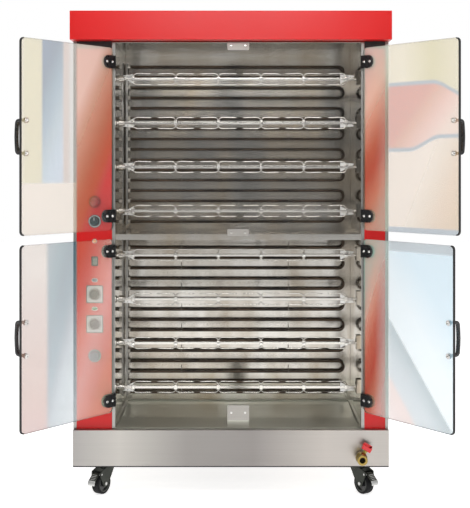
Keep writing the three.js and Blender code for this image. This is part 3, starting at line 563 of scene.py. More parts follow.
def arc(centre_x, centre_y, radius, start, end, steps):
    """Points along an arc, its angles in degrees."""
    points = []
    for i in range(steps + 1):
        angle = math.radians(start + (end - start) * i / steps)
        points.append((centre_x + radius * math.cos(angle), centre_y + radius * math.sin(angle)))
    return points


def rounded_rectangle(x0, y0, x1, y1, radius, steps=6, top_radius=None):
    """Its corners share a radius, unless the top ones have their own."""
    top = radius if top_radius is None else top_radius
    return (arc(x1 - radius, y0 + radius, radius, -90, 0, steps)
            + arc(x1 - top, y1 - top, top, 0, 90, steps)
            + arc(x0 + top, y1 - top, top, 90, 180, steps)
            + arc(x0 + radius, y0 + radius, radius, 180, 270, steps))


def plaque(half_width, half_height, radius, steps=6):
    """A rounded rectangle about the page's middle."""
    return rounded_rectangle(-half_width, -half_height, half_width, half_height, radius, steps)


def facing(x, y, z):
    """Stands a page's solid at a point on the front, its z axis out of the cabinet."""
    return moved(x, y, z) @ FORWARD


def along_x(x, y, z):
    """Stands a turned solid at a point with its axis along +X."""
    return moved(x, y, z) @ turn(90, "Y")


class Piece:
    """One object of the visual model, built up from solids in millimetres in a frame of its own."""

    def __init__(self, name):
        self.name = name
        self.whole = bmesh.new()
        self.materials = []

    def add(self, solid, material, place=None):
        if material not in self.materials:
            self.materials.append(material)
        index = self.materials.index(material)
        if place is not None:
            solid.transform(place)
        for face in solid.faces:
            face.material_index = index
            face.smooth = True
        part = bpy.data.meshes.new("part")
        solid.to_mesh(part)
        solid.free()
        self.whole.from_mesh(part)
        bpy.data.meshes.remove(part)

    def mesh(self):
        bmesh.ops.recalc_face_normals(self.whole, faces=self.whole.faces)
        self.whole.transform(Matrix.Scale(MM, 4))
        mesh = bpy.data.meshes.new(self.name)
        self.whole.to_mesh(mesh)
        self.whole.free()
        for material in self.materials:
            mesh.materials.append(material)
        mesh.set_sharp_from_angle(angle=math.radians(38))
        return mesh

    def finish(self, slot, body="cabinet", place=CABINET, replaces=()):
        shown(self.name, self.mesh(), body, place, replaces)


def shown(name, mesh, body, place, replaces=()):
    """Puts a mesh in the scene as a piece that rides on a body."""
    piece = linked(name, mesh)
    piece.matrix_world = place
    piece.modifiers.new("weighted", "WEIGHTED_NORMAL").keep_sharp = True
    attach(piece, body)
    if replaces:
        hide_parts(*replaces)


def screw_head(radius, height, drive=0.5):
    """A pan head with a hexagon socket."""
    socket = radius * drive
    return turned([
        (0, height * 0.35), (socket, height * 0.35, 6), (socket, height * 0.96, 6),
        (radius * 0.72, height), (radius * 0.93, height * 0.72), (radius, height * 0.35), (radius, 0), (0, 0),
    ], 24)


# ---- Sheet metal kept from the CAD ----

SHEET_EDGE = 0.5  # the rounding of a folded sheet's edges


def dress(material, *nodes, edge=SHEET_EDGE):
    """Gives CAD nodes their material, and rounds their edges by modifiers."""
    for node in nodes:
        piece = NODES[node]
        piece.data.materials.clear()
        piece.data.materials.append(material)
        piece.modifiers.new("weld", "WELD").merge_threshold = 0.00001
        bevel = piece.modifiers.new("bevel", "BEVEL")
        bevel.width = edge * MM
        bevel.segments = 2
        bevel.limit_method = "ANGLE"
        bevel.angle_limit = math.radians(35)
        bevel.harden_normals = True


dress(RED, "left_column", "right_column")
dress(RED, "canopy", edge=1.5)
dress(PLINTH_STEEL, "base_plinth", edge=1.2)
dress(BRUSHED_UP, "left_side_panel", "right_side_panel", "rear_panel", "left_door_jamb", "right_door_jamb")
dress(PAN_STEEL, "drip_pan")
dress(WALL_MIRROR, "left_inner_wall", "right_inner_wall")
dress(MIRROR, "cavity_liner", "mid_divider")
dress(CAST, "gearmotor", edge=1)


def canopy_shadow_strips():
    """Painted shade: a black strip on each column, in the gap below the canopy, where the canopy's shadow
    falls.
    """
    for side in ("left", "right"):
        low, high = layout_box(f"{side}_column")
        strip = Piece(f"{side}_canopy_shadow_strip")
        # The strip is painted shade, standing for the canopy's shadow on the column.
        strip.add(cuboid((low.x + 0.5, -2.4, high.z - 27), (high.x - 0.5, -0.2, high.z - 0.5), 0.6), SEAL_AND_SHADE)
        strip.finish("black_plastic")


PLINTH_FOOT = 112.6


def plinth_strip():
    """A dark edge strip along the foot of the plinth's front."""
    low, high = layout_box("base_plinth")
    strip = Piece("plinth_strip")
    front = low.y
    strip.add(cuboid((low.x + 1, front - 0.5, PLINTH_FOOT), (high.x - 1, front + 1, PLINTH_FOOT + 4), 0.3),
              SEAL_AND_SHADE)
    strip.finish("black_plastic")


canopy_shadow_strips()
plinth_strip()

# ---- Door catches ----
# A bright striking plate over each of the three catches that the CAD sheets carry.

CATCH = {"half_width": 41, "front": -7.2, "thickness": 1.4, "screws": 26}


def catch_plate(level, low, high, top_radius, foot_radius):
    """A flat striking plate with its free corners rounded, and two flush screws."""
    liner_low, liner_high = layout_box("cavity_liner")
    middle = (liner_low.x + liner_high.x) / 2
    half, front, thickness = CATCH["half_width"], CATCH["front"], CATCH["thickness"]
    outline = rounded_rectangle(-half, low, half, high, foot_radius, 5, top_radius)
    plate = Piece(f"{level}_catch")
    plate.add(prism(outline, 0, thickness, 0.4), CATCH_STEEL, facing(middle, front, 0))
    for side in (-1, 1):
        plate.add(turned([(0, -0.5), (3.6, -0.5), (3.6, 0.1), (1.6, 0.25, 6), (1.6, -0.4, 6), (0, -0.4)], 24),
                  CHROME, facing(middle + side * CATCH["screws"], front - thickness, (low + high) / 2))
    plate.finish("brushed_steel")


def door_catches():
    liner, divider, pan = (layout_box(node)[1].z for node in ("cavity_liner", "mid_divider", "drip_pan"))
    catch_plate("upper", 1671, liner - 1, 1.5, 9)
    catch_plate("middle", divider - 26, divider, 8, 1.5)
    catch_plate("lower", pan - 56, pan, 9, 1.5)


door_catches()

# ---- Doors ----
# A door's pieces are drawn closed, with x from its pivot and the outer face towards -y.

PANE = {"thickness": 6, "edge": 7.4, "corner": 15, "arris": 1.0}
TRIM_STRIP = {"wall": 0.9, "proud": 0.6, "lap": 4}
CLAMP = {"reach": 58, "half_height": 24, "radius": 9, "screws": (15, 44), "bevel": 1.6}
HANDLE = {"inset": 27, "standoff": 50, "half_width": 7, "thickness": 10.5, "foot": 57, "bow": 3, "corner": 11}


def door_facts(side, level):
    """Where a door stands, and which way it runs from its pivot."""
    joint = JOINTS[f"{side}_{level}_door_hinge"]
    along = 1 if side == "left" else -1
    x, y = joint["pos_m"][:2]
    return moved(x, y, 0) @ turn(-along * joint["range_deg"][1], "Z"), along


def door_pane(side, level, place, along):
    """The glass with its corners rounded and its arrises ground. It gives back the pane's length."""
    name = f"{side}_{level}"
    low, high = layout_box(f"{name}_door_glass")
    pivot = joint_place(f"{name}_door_hinge").x
    reach = max(abs(low.x - pivot), abs(high.x - pivot))
    opened = math.radians(JOINTS[f"{name}_door_hinge"]["range_deg"][1])
    half = PANE["thickness"] / 2
    length = (reach - half * math.sin(opened)) / abs(math.cos(opened))
    corners = rounded_rectangle(PANE["edge"], low.z, length, high.z, PANE["corner"])
    outline = [(along * x, z) for x, z in corners]
    pane = Piece(f"{name}_pane")
    pane.add(stood(FORWARD, outline, -half, half, PANE["arris"], 2, 60), GLASS[name])
    pane.materials.append(GLASS_EDGE)
    for face in pane.whole.faces:
        if abs(face.normal.y) < 0.9:
            face.material_index = 1
    pane.finish("door_glass", f"{name}_door", place, [f"{name}_door_glass"])
    return length


def edge_trim(side, level, place, along, length):
    """A black rubber channel pushed on the pane's free edge and round its two corners."""
    low, high = layout_box(f"{side}_{level}_door_glass")
    corner, half = PANE["corner"], PANE["thickness"] / 2 + TRIM_STRIP["wall"]
    rings = []
    for z, start, end in ((low.z + corner, -90, 0), (high.z - corner, 0, 90)):
        outer = arc(length - corner, z, corner + TRIM_STRIP["proud"], start, end, 7)
        inner = arc(length - corner, z, corner - TRIM_STRIP["lap"], start, end, 7)
        for (ox, oz), (ix, iz) in zip(outer, inner):
            rings.append([(along * ox, -half, oz), (along * ox, half, oz),
                          (along * ix, half, iz), (along * ix, -half, iz)])
    strip = Piece(f"{side}_{level}_edge_trim")
    strip.add(rounded(skinned(rings), 0.5, 2, 50), SEAL_AND_SHADE)
    strip.finish("black_plastic", f"{side}_{level}_door", place)


def door_handle(side, level, place, along, length):
    """A bow handle outside the pane, with its two screws and washers inside."""
    name = f"{side}_{level}"
    low, high = layout_box(f"{name}_handle")
    middle = (low.z + high.z) / 2
    x = along * (length - HANDLE["inset"])
    face = PANE["thickness"] / 2
    foot, corner, bow = HANDLE["foot"], HANDLE["corner"], HANDLE["bow"]
    half_width, half_thick = HANDLE["half_width"], HANDLE["thickness"] / 2
    shoulder = bow - face - HANDLE["standoff"] + half_thick
    lower = [(x, -face - 1, middle - foot)]
    lower += [(x, y, z) for y, z in arc(shoulder + corner, middle - foot + corner, corner, -90, -180, 6)]
    upper = [(x, y, 2 * middle - z) for x, y, z in reversed(lower)]
    grip = [(x, shoulder - bow * math.sin(math.pi * part), middle - (foot - corner) * (1 - 2 * part))
            for part in (0.1, 0.25, 0.5, 0.75, 0.9)]
    handle = Piece(f"{name}_grip")
    handle.add(swept(lower + grip + upper, plaque(half_width, half_thick, 3, 4)), BLACK)
    for z in (middle - foot, middle + foot):
        outward, inward = facing(x, -face - 0.1, z), moved(x, face + 0.1, z) @ REARWARD
        handle.add(turned([(0, 0), (9.5, 0), (9.5, 2.5), (7, 6), (0, 6)], 32), BLACK, outward)
        handle.add(turned([(0, 0), (9.5, 0), (9.5, 1.2), (9, 1.6), (0, 1.6)], 32), CHROME, inward)
        handle.add(screw_head(6, 4.2), CHROME, inward @ moved(0, 0, 1.6))
    handle.finish("black_plastic", f"{name}_door", place, [f"{name}_handle"])


def hinge_clamp(side, level, end, place, along):
    """A D-shaped clamp: two cheeks on the pane, joined by a barrel round the hinge pin."""
    name = f"{side}_{level}_clamp_{end}"
    low, high = layout_box(name)
    z = (low.z + high.z) / 2
    reach, half, radius = CLAMP["reach"], CLAMP["half_height"], CLAMP["radius"]
    inner = PANE["thickness"] / 2 + 0.3
    clamp = Piece(f"{side}_{level}_hinge_{end}")
    outline = [(0, -half), *arc(reach - half, 0, half, -90, 90, 14), (0, half)]
    outline = [(along * x, y) for x, y in outline]
    for sign, outward in ((-1, FORWARD), (1, REARWARD)):
        flip = Matrix.Scale(-sign, 4, (0, 1, 0))
        cheek = rounded(prism(outline, inner, radius), CLAMP["bevel"], 3)
        clamp.add(cheek, BLACK, moved(0, 0, z) @ outward @ flip)
        for x in CLAMP["screws"]:
            screw = moved(along * x, sign * (radius - 0.2), z) @ outward
            clamp.add(rod(8.2, 0, 0.7, 28), BLACK, screw)
            clamp.add(screw_head(5.6, 3.2), CHROME, screw)
    barrel = [(4.8, half - 1.5), (5.6, half), (radius - 1.3, half), (radius, half - 1.3)]
    clamp.add(hoop(mirrored(barrel), 36), BLACK, moved(0, 0, z))
    clamp.finish("black_plastic", f"{side}_{level}_door", place, [name])


def make_doors():
    for side in ("left", "right"):
        for level in ("upper", "lower"):
            place, along = door_facts(side, level)
            length = door_pane(side, level, place, along)
            edge_trim(side, level, place, along, length)
            door_handle(side, level, place, along, length)
            for end in ("top", "bottom"):
                hinge_clamp(side, level, end, place, along)


make_doors()

# ---- Spits and drive ----
# A spit is drawn along x about its own axis.

SPIT = {"blade": 10, "left": -425, "right": 484, "count": 8}
HUB = {"end": -490, "socket": 14, "from": -442, "to": -418, "stub": 5, "stub_end": 510}
SPROCKET = {"from": -474, "to": -468, "tip": 30, "root": 24.5, "teeth": 10, "boss": 14}
FORK = {"first": -386, "pitch": 168, "count": 6, "spread": 22.3, "wire": 2.4, "reach": 74, "hub": 7}
GUSSET = {"corner": 2.5, "deep": 52, "tip": 54, "inset": 24}


def gear_outline(teeth, tip, root):
    """Pointed sprocket teeth with hollow round gaps between them."""
    outline = []
    steps = 8
    for tooth in range(teeth):
        for i in range(steps):
            part = i / steps
            swing = abs(math.cos(math.pi * part)) ** 0.8
            radius = root + (tip - root) * swing
            angle = 2 * math.pi * (tooth + part) / teeth
            outline.append((radius * math.cos(angle), radius * math.sin(angle)))
    return outline


def fork_prong(x, toward, up):
    """A wire prong: out from the hub, bent level and ground to a point."""
    spread, reach, level = FORK["spread"], FORK["reach"], 20
    path = [(0, 5), (0, 9), (2, 14), (6, 18.5), (12, 21.4), (level, spread)]
    path += [(level + (reach - level) * part, spread - 1.5 * part) for part in (0.3, 0.6, 0.8, 0.9, 0.96, 1)]
    sizes = [1] * (len(path) - 4) + [1, 0.85, 0.5, 0.1]
    return wire([(x + toward * out, 0, up * height) for out, height in path], FORK["wire"], 12, sizes)


def gusset(x, toward):
    """The end fork's triangular plate, its point towards the spit's end."""
    corner, deep = GUSSET["corner"], GUSSET["deep"]
    outline = (arc(3, 11, corner, 100, 250, 5) + arc(deep, -15.5, corner, 250, 360, 5)
               + arc(deep, 15, corner, 0, 100, 5))
    outline = [(x + toward * (out - GUSSET["tip"]), height) for out, height in outline]
    return stood(FORWARD, outline, -1.6, 1.6, 0.5, 2, 60)


def fork(piece, x, ways):
    """A square hub with a thumbscrew, and two prongs each way."""
    hub = FORK["hub"]
    piece.add(cuboid((x - hub, -9, -9), (x + hub, 9, 9), 1.6), SPIT_STEEL)
    for toward in ways:
        for up in (-1, 1):
            piece.add(fork_prong(x, toward, up), SPIT_STEEL)
    thumb = facing(x, -9, 0)
    piece.add(rod(2.6, 0, 4, 16), CHROME, thumb)
    piece.add(rounded(prism(plaque(6.5, 2, 1.9, 4), 4, 13), 0.8, 2), CHROME, thumb)


def spit_mesh():
    spit = Piece("spit")
    axis = along_x(0, 0, 0)
    half, right = SPIT["blade"] / 2, SPIT["right"]
    socket, start, end = HUB["socket"], HUB["from"], HUB["to"]
    stub, stub_end = HUB["stub"], HUB["stub_end"]
    spit.add(cuboid((SPIT["left"], -half, -half), (right, half, half), 0.9), SPIT_STEEL)
    spit.add(turned([
        (0, start), (socket - 1.5, start), (socket, start + 1.5), (socket, end - 7), (socket - 2, end - 6),
        (socket - 2, end - 1), (socket - 3, end), (0, end),
    ], 40), SPIT_STEEL, axis)
    shaft = [(0, HUB["end"]), (7, HUB["end"]), (8, HUB["end"] + 1), (8, start + 1), (0, start + 1)]
    spit.add(turned(shaft, 28), SPIT_STEEL, axis)
    teeth = gear_outline(SPROCKET["teeth"], SPROCKET["tip"], SPROCKET["root"])
    spit.add(prism(teeth, SPROCKET["from"], SPROCKET["to"], 0.6), ZINC, axis)
    spit.add(rod(SPROCKET["boss"], SPROCKET["from"] - 6, SPROCKET["to"] + 10, 28), ZINC, axis)
    stub = [(0, right - 1), (stub, right - 1), (stub, stub_end - 3), (stub - 2, stub_end), (0, stub_end)]
    spit.add(turned(stub, 24), SPIT_STEEL, axis)
    places = [FORK["first"] + FORK["pitch"] * i for i in range(FORK["count"])]
    for x in places:
        ways = [1] if x == places[0] else [-1] if x == places[-1] else [-1, 1]
        fork(spit, x, ways)
    spit.add(gusset(places[0] + 4, 1), END_PLATE)
    spit.add(gusset(places[-1] - GUSSET["inset"], -1), END_PLATE)
    return spit.mesh()


def make_spits():
    mesh = spit_mesh()
    for i in range(SPIT["count"]):
        axis = Vector(JOINTS[f"spit_{i + 1}_spin"]["pos_m"])
        place = moved(ORIGIN.x, axis.y, axis.z) @ turn(180 * (i % 2), "X")
        shown(f"spit_{i + 1}_assembly", mesh, f"spit_{i + 1}", place, [f"spit_{i + 1}"])


make_spits()

# ---- Heaters ----

ELEMENT = {"count": 8, "pitch": 86.6, "bend": 21.65, "radius": 5, "beyond": 14, "strip": 8, "half_depth": 9}
HANGERS = {"at": (-210, 240), "radius": 1.2}


def heater_bank(level):
    """Hairpin elements on an upright terminal strip, with thin wire hangers on the back wall."""
    low, high = layout_box(f"{level}_heaters")
    bend, radius, half_depth = ELEMENT["bend"], ELEMENT["radius"], ELEMENT["half_depth"]
    top = high.z - bend - ELEMENT["beyond"]
    y = (low.y + high.y) / 2
    left = low.x + ELEMENT["strip"]
    right = high.x - bend - radius
    leg = (left - 1, left + 60, -200, 0, 200, right - 20)
    bank = Piece(f"{level}_heater_bank")
    bank.add(cuboid((low.x, y - half_depth, low.z), (left, y + half_depth, high.z), 1), BRUSHED_UP)
    for i in range(ELEMENT["count"]):
        z = top - ELEMENT["pitch"] * i
        out = [(x, y, z - bend) for x in leg]
        hairpin = [(px, y, pz) for px, pz in arc(right, z, bend, -90, 90, 16)]
        back = [(x, y, z + bend) for x in reversed(leg)]
        bank.add(wire(out + hairpin + back, radius, 20), HEATER)
        for leg_z in (z - bend, z + bend):
            bank.add(turned([(0, 0), (8, 0), (8, 7), (6.6, 10), (0, 10)], 24), CERAMIC,
                     along_x(left - 0.5, y, leg_z))
        for x in HANGERS["at"]:
            hanger = [(x, y + 20, z), (x, y + 8, z - 2), (x, y + 6.4, z - bend)]
            hook = [(x, py, pz) for py, pz in arc(y, z - bend, radius + 1.3, 0, -300, 14)]
            bank.add(wire(hanger, HANGERS["radius"], 8), CHROME)
            bank.add(wire(hook, HANGERS["radius"], 8), CHROME)
    bank.finish("heater_steel", replaces=[f"{level}_heaters"])


for level in ("upper", "lower"):
    heater_bank(level)

# ---- Controls ----
# Each control is drawn on a page, its z axis out of the column's front face.

CONTROL_X = -511
PLATE = 0.2  # how far a trim plate stands off the column, to keep the faces apart


def on_column(z):
    return facing(CONTROL_X, 0, z)


def dial_ticks(piece, z, inner, outer, sweep, count, lift=1.6):
    """Short marks round a dial, evenly over a sweep in degrees to either side of its top."""
    for i in range(count):
        tick = cuboid((inner, -0.45, lift), (outer, 0.45, lift + 0.25))
        piece.add(tick, DARK_PRINT_AND_SHADE, on_column(z) @ turn(90 + sweep - 2 * sweep * i / (count - 1), "Z"))


def start_button():
    low, high = layout_box("start_button")
    page = on_column((low.z + high.z) / 2)
    collar = Piece("start_button_collar")
    ring = [(19.3, 0.2), (23, 0.2), (23, 2.2), (22.2, 3.6), (20, 3.6), (19.3, 2.8)]
    collar.add(hoop(ring, 56), BUTTON_RED, page)
    collar.finish("red_plastic")
    button = Piece("start_button_dome")
    angles = [math.radians(9 * i) for i in range(10)]
    dome = [(18.5 * math.cos(angle), 10 + 14 * math.sin(angle)) for angle in angles]
    button.add(turned([(0, 6.2), (18.5, 6.2), *dome, (0, 24)], 56), BUTTON_RED, page)
    button.add(rod(7, -18, 6.4, 28), BLACK, page)
    button.finish("red_plastic", "start_button", replaces=["start_button"])


def knob(name, radius, material, mark, ribs, slot):
    """A ribbed knob with a pointer line on its face and a skirt behind. It gives back its height."""
    z = joint_place(f"{name}_turn").z
    page = on_column(z)
    piece = Piece(f"{name}_grip")
    skirt = [(0, 4), (radius + 1.6, 4), (radius + 2, 5), (radius + 1.6, 6.4), (radius, 7.5), (0, 7.5)]
    piece.add(turned(skirt, 64), material, page)
    rings = []
    turns = [2 * math.pi * i / (ribs * 6) for i in range(ribs * 6)]
    steps = [(radius, 7, 0), (radius, 9, 1), (radius - 1.2, 20.5, 1), (radius - 2.2, 23, 0.5),
             (radius - 4, 24, 0), (0.01, 23.6, 0)]
    for reach, height, wave in steps:
        dips = [0.55 * wave * (0.5 + 0.5 * math.cos(ribs * angle)) for angle in turns]
        rings.append([((reach - dip) * math.cos(angle), (reach - dip) * math.sin(angle), height)
                      for angle, dip in zip(turns, dips)])
    piece.add(skinned(rings), material, page)
    piece.add(cuboid((-1, radius * 0.2, 23.2), (1, radius - 3.4, 24.2), 0.2), mark, page)
    piece.add(rod(4, -27, 5, 20), CHROME, page)
    piece.finish(slot, name, replaces=[name])
    return z


def round_dial(name, z, ticks):
    """The knob's trim ring with dial marks."""
    piece = Piece(name)
    radius, page = 24.5, on_column(z)
    # The dark disc under the ring shows as a dark outline round it: painted shade.
    piece.add(rod(radius, PLATE, 0.9, 64), DARK_PRINT_AND_SHADE, page)
    ring = [(0, 0.8), (radius - 2, 0.8), (radius - 2, 1.2), (radius - 2.8, 1.8), (0, 1.8)]
    piece.add(turned(ring, 64), TRIM, page)
    dial_ticks(piece, z, radius - 4.6, radius - 1.4, 150, ticks)
    piece.finish("brushed_steel")


def square_bezel(name, z):
    """A thermostat's square dial plate with a raised round boss, marks round it and four screws."""
    piece = Piece(name)
    half_width, half_height, page = 32, 33.5, on_column(z)
    # The dark plate under the trim shows as a dark outline round it: painted shade.
    piece.add(prism(plaque(half_width, half_height, 3), PLATE, 1.1, 0.3), DARK_PRINT_AND_SHADE, page)
    piece.add(prism(plaque(half_width - 3, half_height - 3, 2), 1, 1.8, 0.3), TRIM, page)
    piece.add(hoop([(20.5, 1.7), (22, 1.7), (22, 2.6), (20.5, 2.6)], 64), DARK_PRINT_AND_SHADE, page)
    piece.add(rod(20.6, 1.7, 2.4, 64), TRIM, page)
    dial_ticks(piece, z, 23, 26.5, 135, 19, 1.7)
    for side in (-1, 1):
        for up in (-1, 1):
            piece.add(screw_head(2.4, 1.4), CHROME, facing(CONTROL_X + side * 27, -1.7, z + up * 28.5))
    piece.finish("brushed_steel")


def pilot(name, z, half_width, half_height, lens):
    """A pilot lamp: a domed lens in a thin bright bezel."""
    piece = Piece(name)
    radius, page = min(half_width, half_height), on_column(z)
    piece.add(prism(plaque(half_width + 2, half_height + 2, radius + 1.9), PLATE, 2, 0.6), CHROME, page)
    rings = []
    for inset, height in ((0, 1.8), (0, 4), (0.8, 5.4), (2.2, 6.4), (radius * 0.7, 7)):
        ring = plaque(half_width - inset, half_height - inset, radius - inset - 0.05, 8)
        rings.append([(x, y, height) for x, y in ring])
    piece.add(skinned(rings), lens, page)
    piece.finish("grey_knob")


def rocker():
    """A rocker switch pressed at its foot, with two shallow finger hollows, in a raised surround."""
    pivot = joint_place("rocker_tilt")
    surround = Piece("rocker_surround")
    outer, inner = plaque(12.5, 18, 2.5), plaque(9.3, 14.8, 1)
    rings = [[(x, y, height) for x, y in outline]
             for outline, height in ((outer, PLATE), (outer, 2.2), (inner, 3), (inner, PLATE))]
    surround.add(skinned(rings, looped=True), BLACK, on_column(pivot.z))
    surround.finish("black_plastic")
    half, tilt, inset, hollow = 13.5, 8, 0.95, 1.8
    face = [(6, -half * 0.6), (6, half * 0.6), (-3, half)]
    for part in (0.9, 0.7, 0.5, 0, -0.5, -0.7, -0.9):
        face.append((-3 - hollow * math.sin(math.pi * abs(part)), half * inset * part))
    face.append((-3, -half))
    lever = Piece("rocker_face")
    lever.add(stood(SIDEWAYS, face, -8, 8, 0.5, 2, 50), ROCKER,
              moved(CONTROL_X, pivot.y, pivot.z) @ turn(tilt, "X"))
    lever.finish("dark_knob", "rocker_switch", replaces=["rocker_switch"])


def make_controls():
    start_button()
    z = knob("upper_knob", 17, DARK_KNOB, MARK_WHITE, 18, "dark_knob")
    round_dial("upper_knob_ring", z, 9)
    for name in ("thermostat_knob_upper", "thermostat_knob_lower"):
        z = knob(name, 17, GREY_KNOB, DARK_PRINT_AND_SHADE, 24, "grey_knob")
        square_bezel(f"{name}_bezel", z)
    z = knob("timer_knob", 19, LIGHT_KNOB, DARK_PRINT_AND_SHADE, 24, "light_knob")
    round_dial("timer_knob_ring", z, 13)
    pilot("amber_pilot", 955, 7, 7, AMBER)
    pilot("blue_grey_pilot", 808, 9.5, 5.5, BLUE_GREY)
    pilot("green_pilot", 701, 9.5, 5.5, GREEN)
    rocker()


make_controls()

# ---- Drain valve ----

LEVER = {"x": 483, "z": 157, "lean": 30, "seat": 31, "top": 43, "half_length": 18, "half_width": 8}
VALVE = {"thread": 72, "pitch": 3, "riser_y": 24, "pipe": 11}


def stem_place():
    """The valve's leaning stem, its heights measured from the valve's own axis, in millimetres."""
    y = joint_place("drain_lever_turn").y
    return moved(LEVER["x"], y, LEVER["z"]) @ turn(LEVER["lean"], "Y")


def drain_valve():
    """A brass ball valve whose heights run inward from its mouth, and the pipe up to the pan."""
    low, high = layout_box("drain_valve")
    x, z, seat, top = LEVER["x"], LEVER["z"], LEVER["seat"], LEVER["top"]
    riser_y, pipe = VALVE["riser_y"], VALVE["pipe"]
    valve = Piece("brass_valve")
    inward = facing(x, low.y, z) @ turn(180, "X")
    valve.add(turned([
        (0, 30), (10.5, 30), (10.5, 1), (11.6, 0), (17.4, 0), (19, 1.6), (19, 12.4), (17.6, 14), (17, 15),
        (16, 18), (16, 22), (20.5, 28), (22, 42), (20.5, 56), (16, 62), (15.5, 66), (0, 66),
    ], 56), BRASS, inward)
    valve.add(rod(10.3, 29.6, 29.9, 32), BORE, inward)
    valve.add(rod(19, 57, 71, 48, 6), BRASS, inward)
    for i in range(4):
        start = VALVE["thread"] + VALVE["pitch"] * i
        valve.add(hoop([(10.9, start), (12.1, start + 1.2), (10.9, start + 2.4)], 40), BRASS, inward)
    valve.add(rod(pipe, 68, 118, 36), BRASS, inward)
    elbow = [(x, 8, z), (x, 16, z + 1.5), (x, 21, z + 5), (x, riser_y, z + 12), (x, riser_y, high.z - 44),
             (x, riser_y, high.z)]
    valve.add(wire(elbow, pipe, 28), BRASS)
    gland = [(0, 10), (9, 10), (9, 20), (7, 22), (7, seat - 0.3), (0, seat - 0.3)]
    valve.add(turned(gland, 32), BRASS, stem_place())
    valve.add(turned([(0, 20), (4, 20), (4, top - 1), (3, top), (0, top)], 24), BRASS, stem_place())
    valve.finish("brass", replaces=["drain_valve"])


def drain_lever():
    """A red wing handle with turned-up tips, and the nut that holds it on the stem."""
    seat, half_length, half_width = LEVER["seat"], LEVER["half_length"], LEVER["half_width"]
    lever = Piece("red_lever")
    outline = [(-half_length, seat), (half_length, seat), *arc(half_length - 6, seat + 11, 6, 0, 120, 8),
               (3, seat + 15), (-3, seat + 15), *arc(6 - half_length, seat + 11, 6, 60, 180, 8)]
    lever.add(stood(FORWARD, outline, -half_width, half_width, 1.8, 3, 40), RED_PLASTIC)
    nut = seat + 10.5
    lever.add(turned([(0, nut), (5.6, nut), (5.6, nut + 3), (4.8, nut + 3.6), (0, nut + 3.6)], 6), BRASS)
    place = stem_place()
    place.translation *= MM
    lever.finish("red_plastic", "drain_lever", CABINET @ place, ["drain_lever"])


drain_valve()
drain_lever()

# ---- Casters ----
# A caster is drawn about its swivel axis, its wheel trailing towards -y.

CASTER = {"top": 106.4, "axle_z": 40, "trail": 32, "legs": 18.5, "cheek": 3, "crown": 28, "bolts": 33}
WHEEL = {"radius": 40, "half_width": 15.5}
BRAKE = {"y": -57, "z": 79, "ribs": 4, "rib_pitch": 5}


def caster_fork(name, place, braked):
    """A pressed fork under its ball race, with the axle's bolt and, where it has a brake, the pedal's pin."""
    top, axle_z, legs, crown = CASTER["top"], CASTER["axle_z"], CASTER["legs"], CASTER["crown"]
    axle_y, outer = -CASTER["trail"], legs + CASTER["cheek"]
    piece = Piece(f"caster_body_{name}")
    race = [(6.8, -16), (crown - 6, -16), (crown - 2, -14.5), (crown, -11), (crown, -7), (crown - 1.5, -6),
            (crown - 1.5, -5), (crown, -4), (crown, -1), (crown - 1, 0), (6.8, 0)]
    piece.add(hoop([(radius, top + z) for radius, z in race], 56), ZINC)
    tail = [(-62, 88), (-64, 74)] if braked else [(-46, 78), (-50, 66)]
    outline = [(22, 103), (-18, 103), *tail, *arc(axle_y, axle_z, 13, 200, 330, 8), (2, 62), (22, 92)]
    for side in (-1, 1):
        near, far = sorted((side * legs, side * outer))
        piece.add(stood(SIDEWAYS, outline, near, far, 0.8, 2, 50), ZINC)
        nut = along_x(side * (outer - 0.2), axle_y, axle_z) @ turn(90 - 90 * side, "X")
        piece.add(bolt_head(7, 2.6, 3.4), PEDAL, nut)
    piece.add(rod(4.6, -outer, outer, 24), PEDAL, along_x(0, axle_y, axle_z))
    bridge = [(20, 95), (-14, 95), (-14, 92), (20, 92)]
    piece.add(stood(SIDEWAYS, bridge, -legs - 1, legs + 1, 0.8, 2, 50), ZINC)
    if braked:
        pin = [(0, legs + 4), (3.6, legs + 4), (3.6, legs + 2), (2.4, legs + 2)]
        piece.add(turned(mirrored(pin), 20), PEDAL, along_x(0, BRAKE["y"], BRAKE["z"]))
    piece.finish("zinc", f"caster_{name}", place, [f"caster_fork_{name}"])


def caster_wheel(name, place):
    """A black tread on a grey rim, with a dished web and a hub."""
    r, w = WHEEL["radius"], WHEEL["half_width"]
    axle = along_x(0, -CASTER["trail"], CASTER["axle_z"])
    piece = Piece(f"caster_roller_{name}")
    tread = [(r - 9, w), (r - 3, w + 0.8), (r - 0.8, w - 1.2), (r, w - 4)]
    rim = [(r - 13, -w - 0.6), (r - 8.6, -w - 0.6), (r - 8.6, w + 0.6), (r - 13, w + 0.6), (r - 14, w - 5),
           (r - 14, -w + 5)]
    web = [(12, w - 7), (r - 13.5, w - 6)]
    hub = [(5.4, w + 1.6), (10, w + 1.6), (12.5, w - 2)]
    piece.add(hoop(mirrored(tread), 64), RUBBER, axle)
    piece.add(hoop(rim, 64), CASTER_RIM, axle)
    piece.add(hoop(mirrored(web), 64), BLACK, axle)
    piece.add(hoop(mirrored(hub), 40), BLACK, axle)
    piece.finish("rubber", f"wheel_{name}", place, [f"caster_wheel_{name}"])


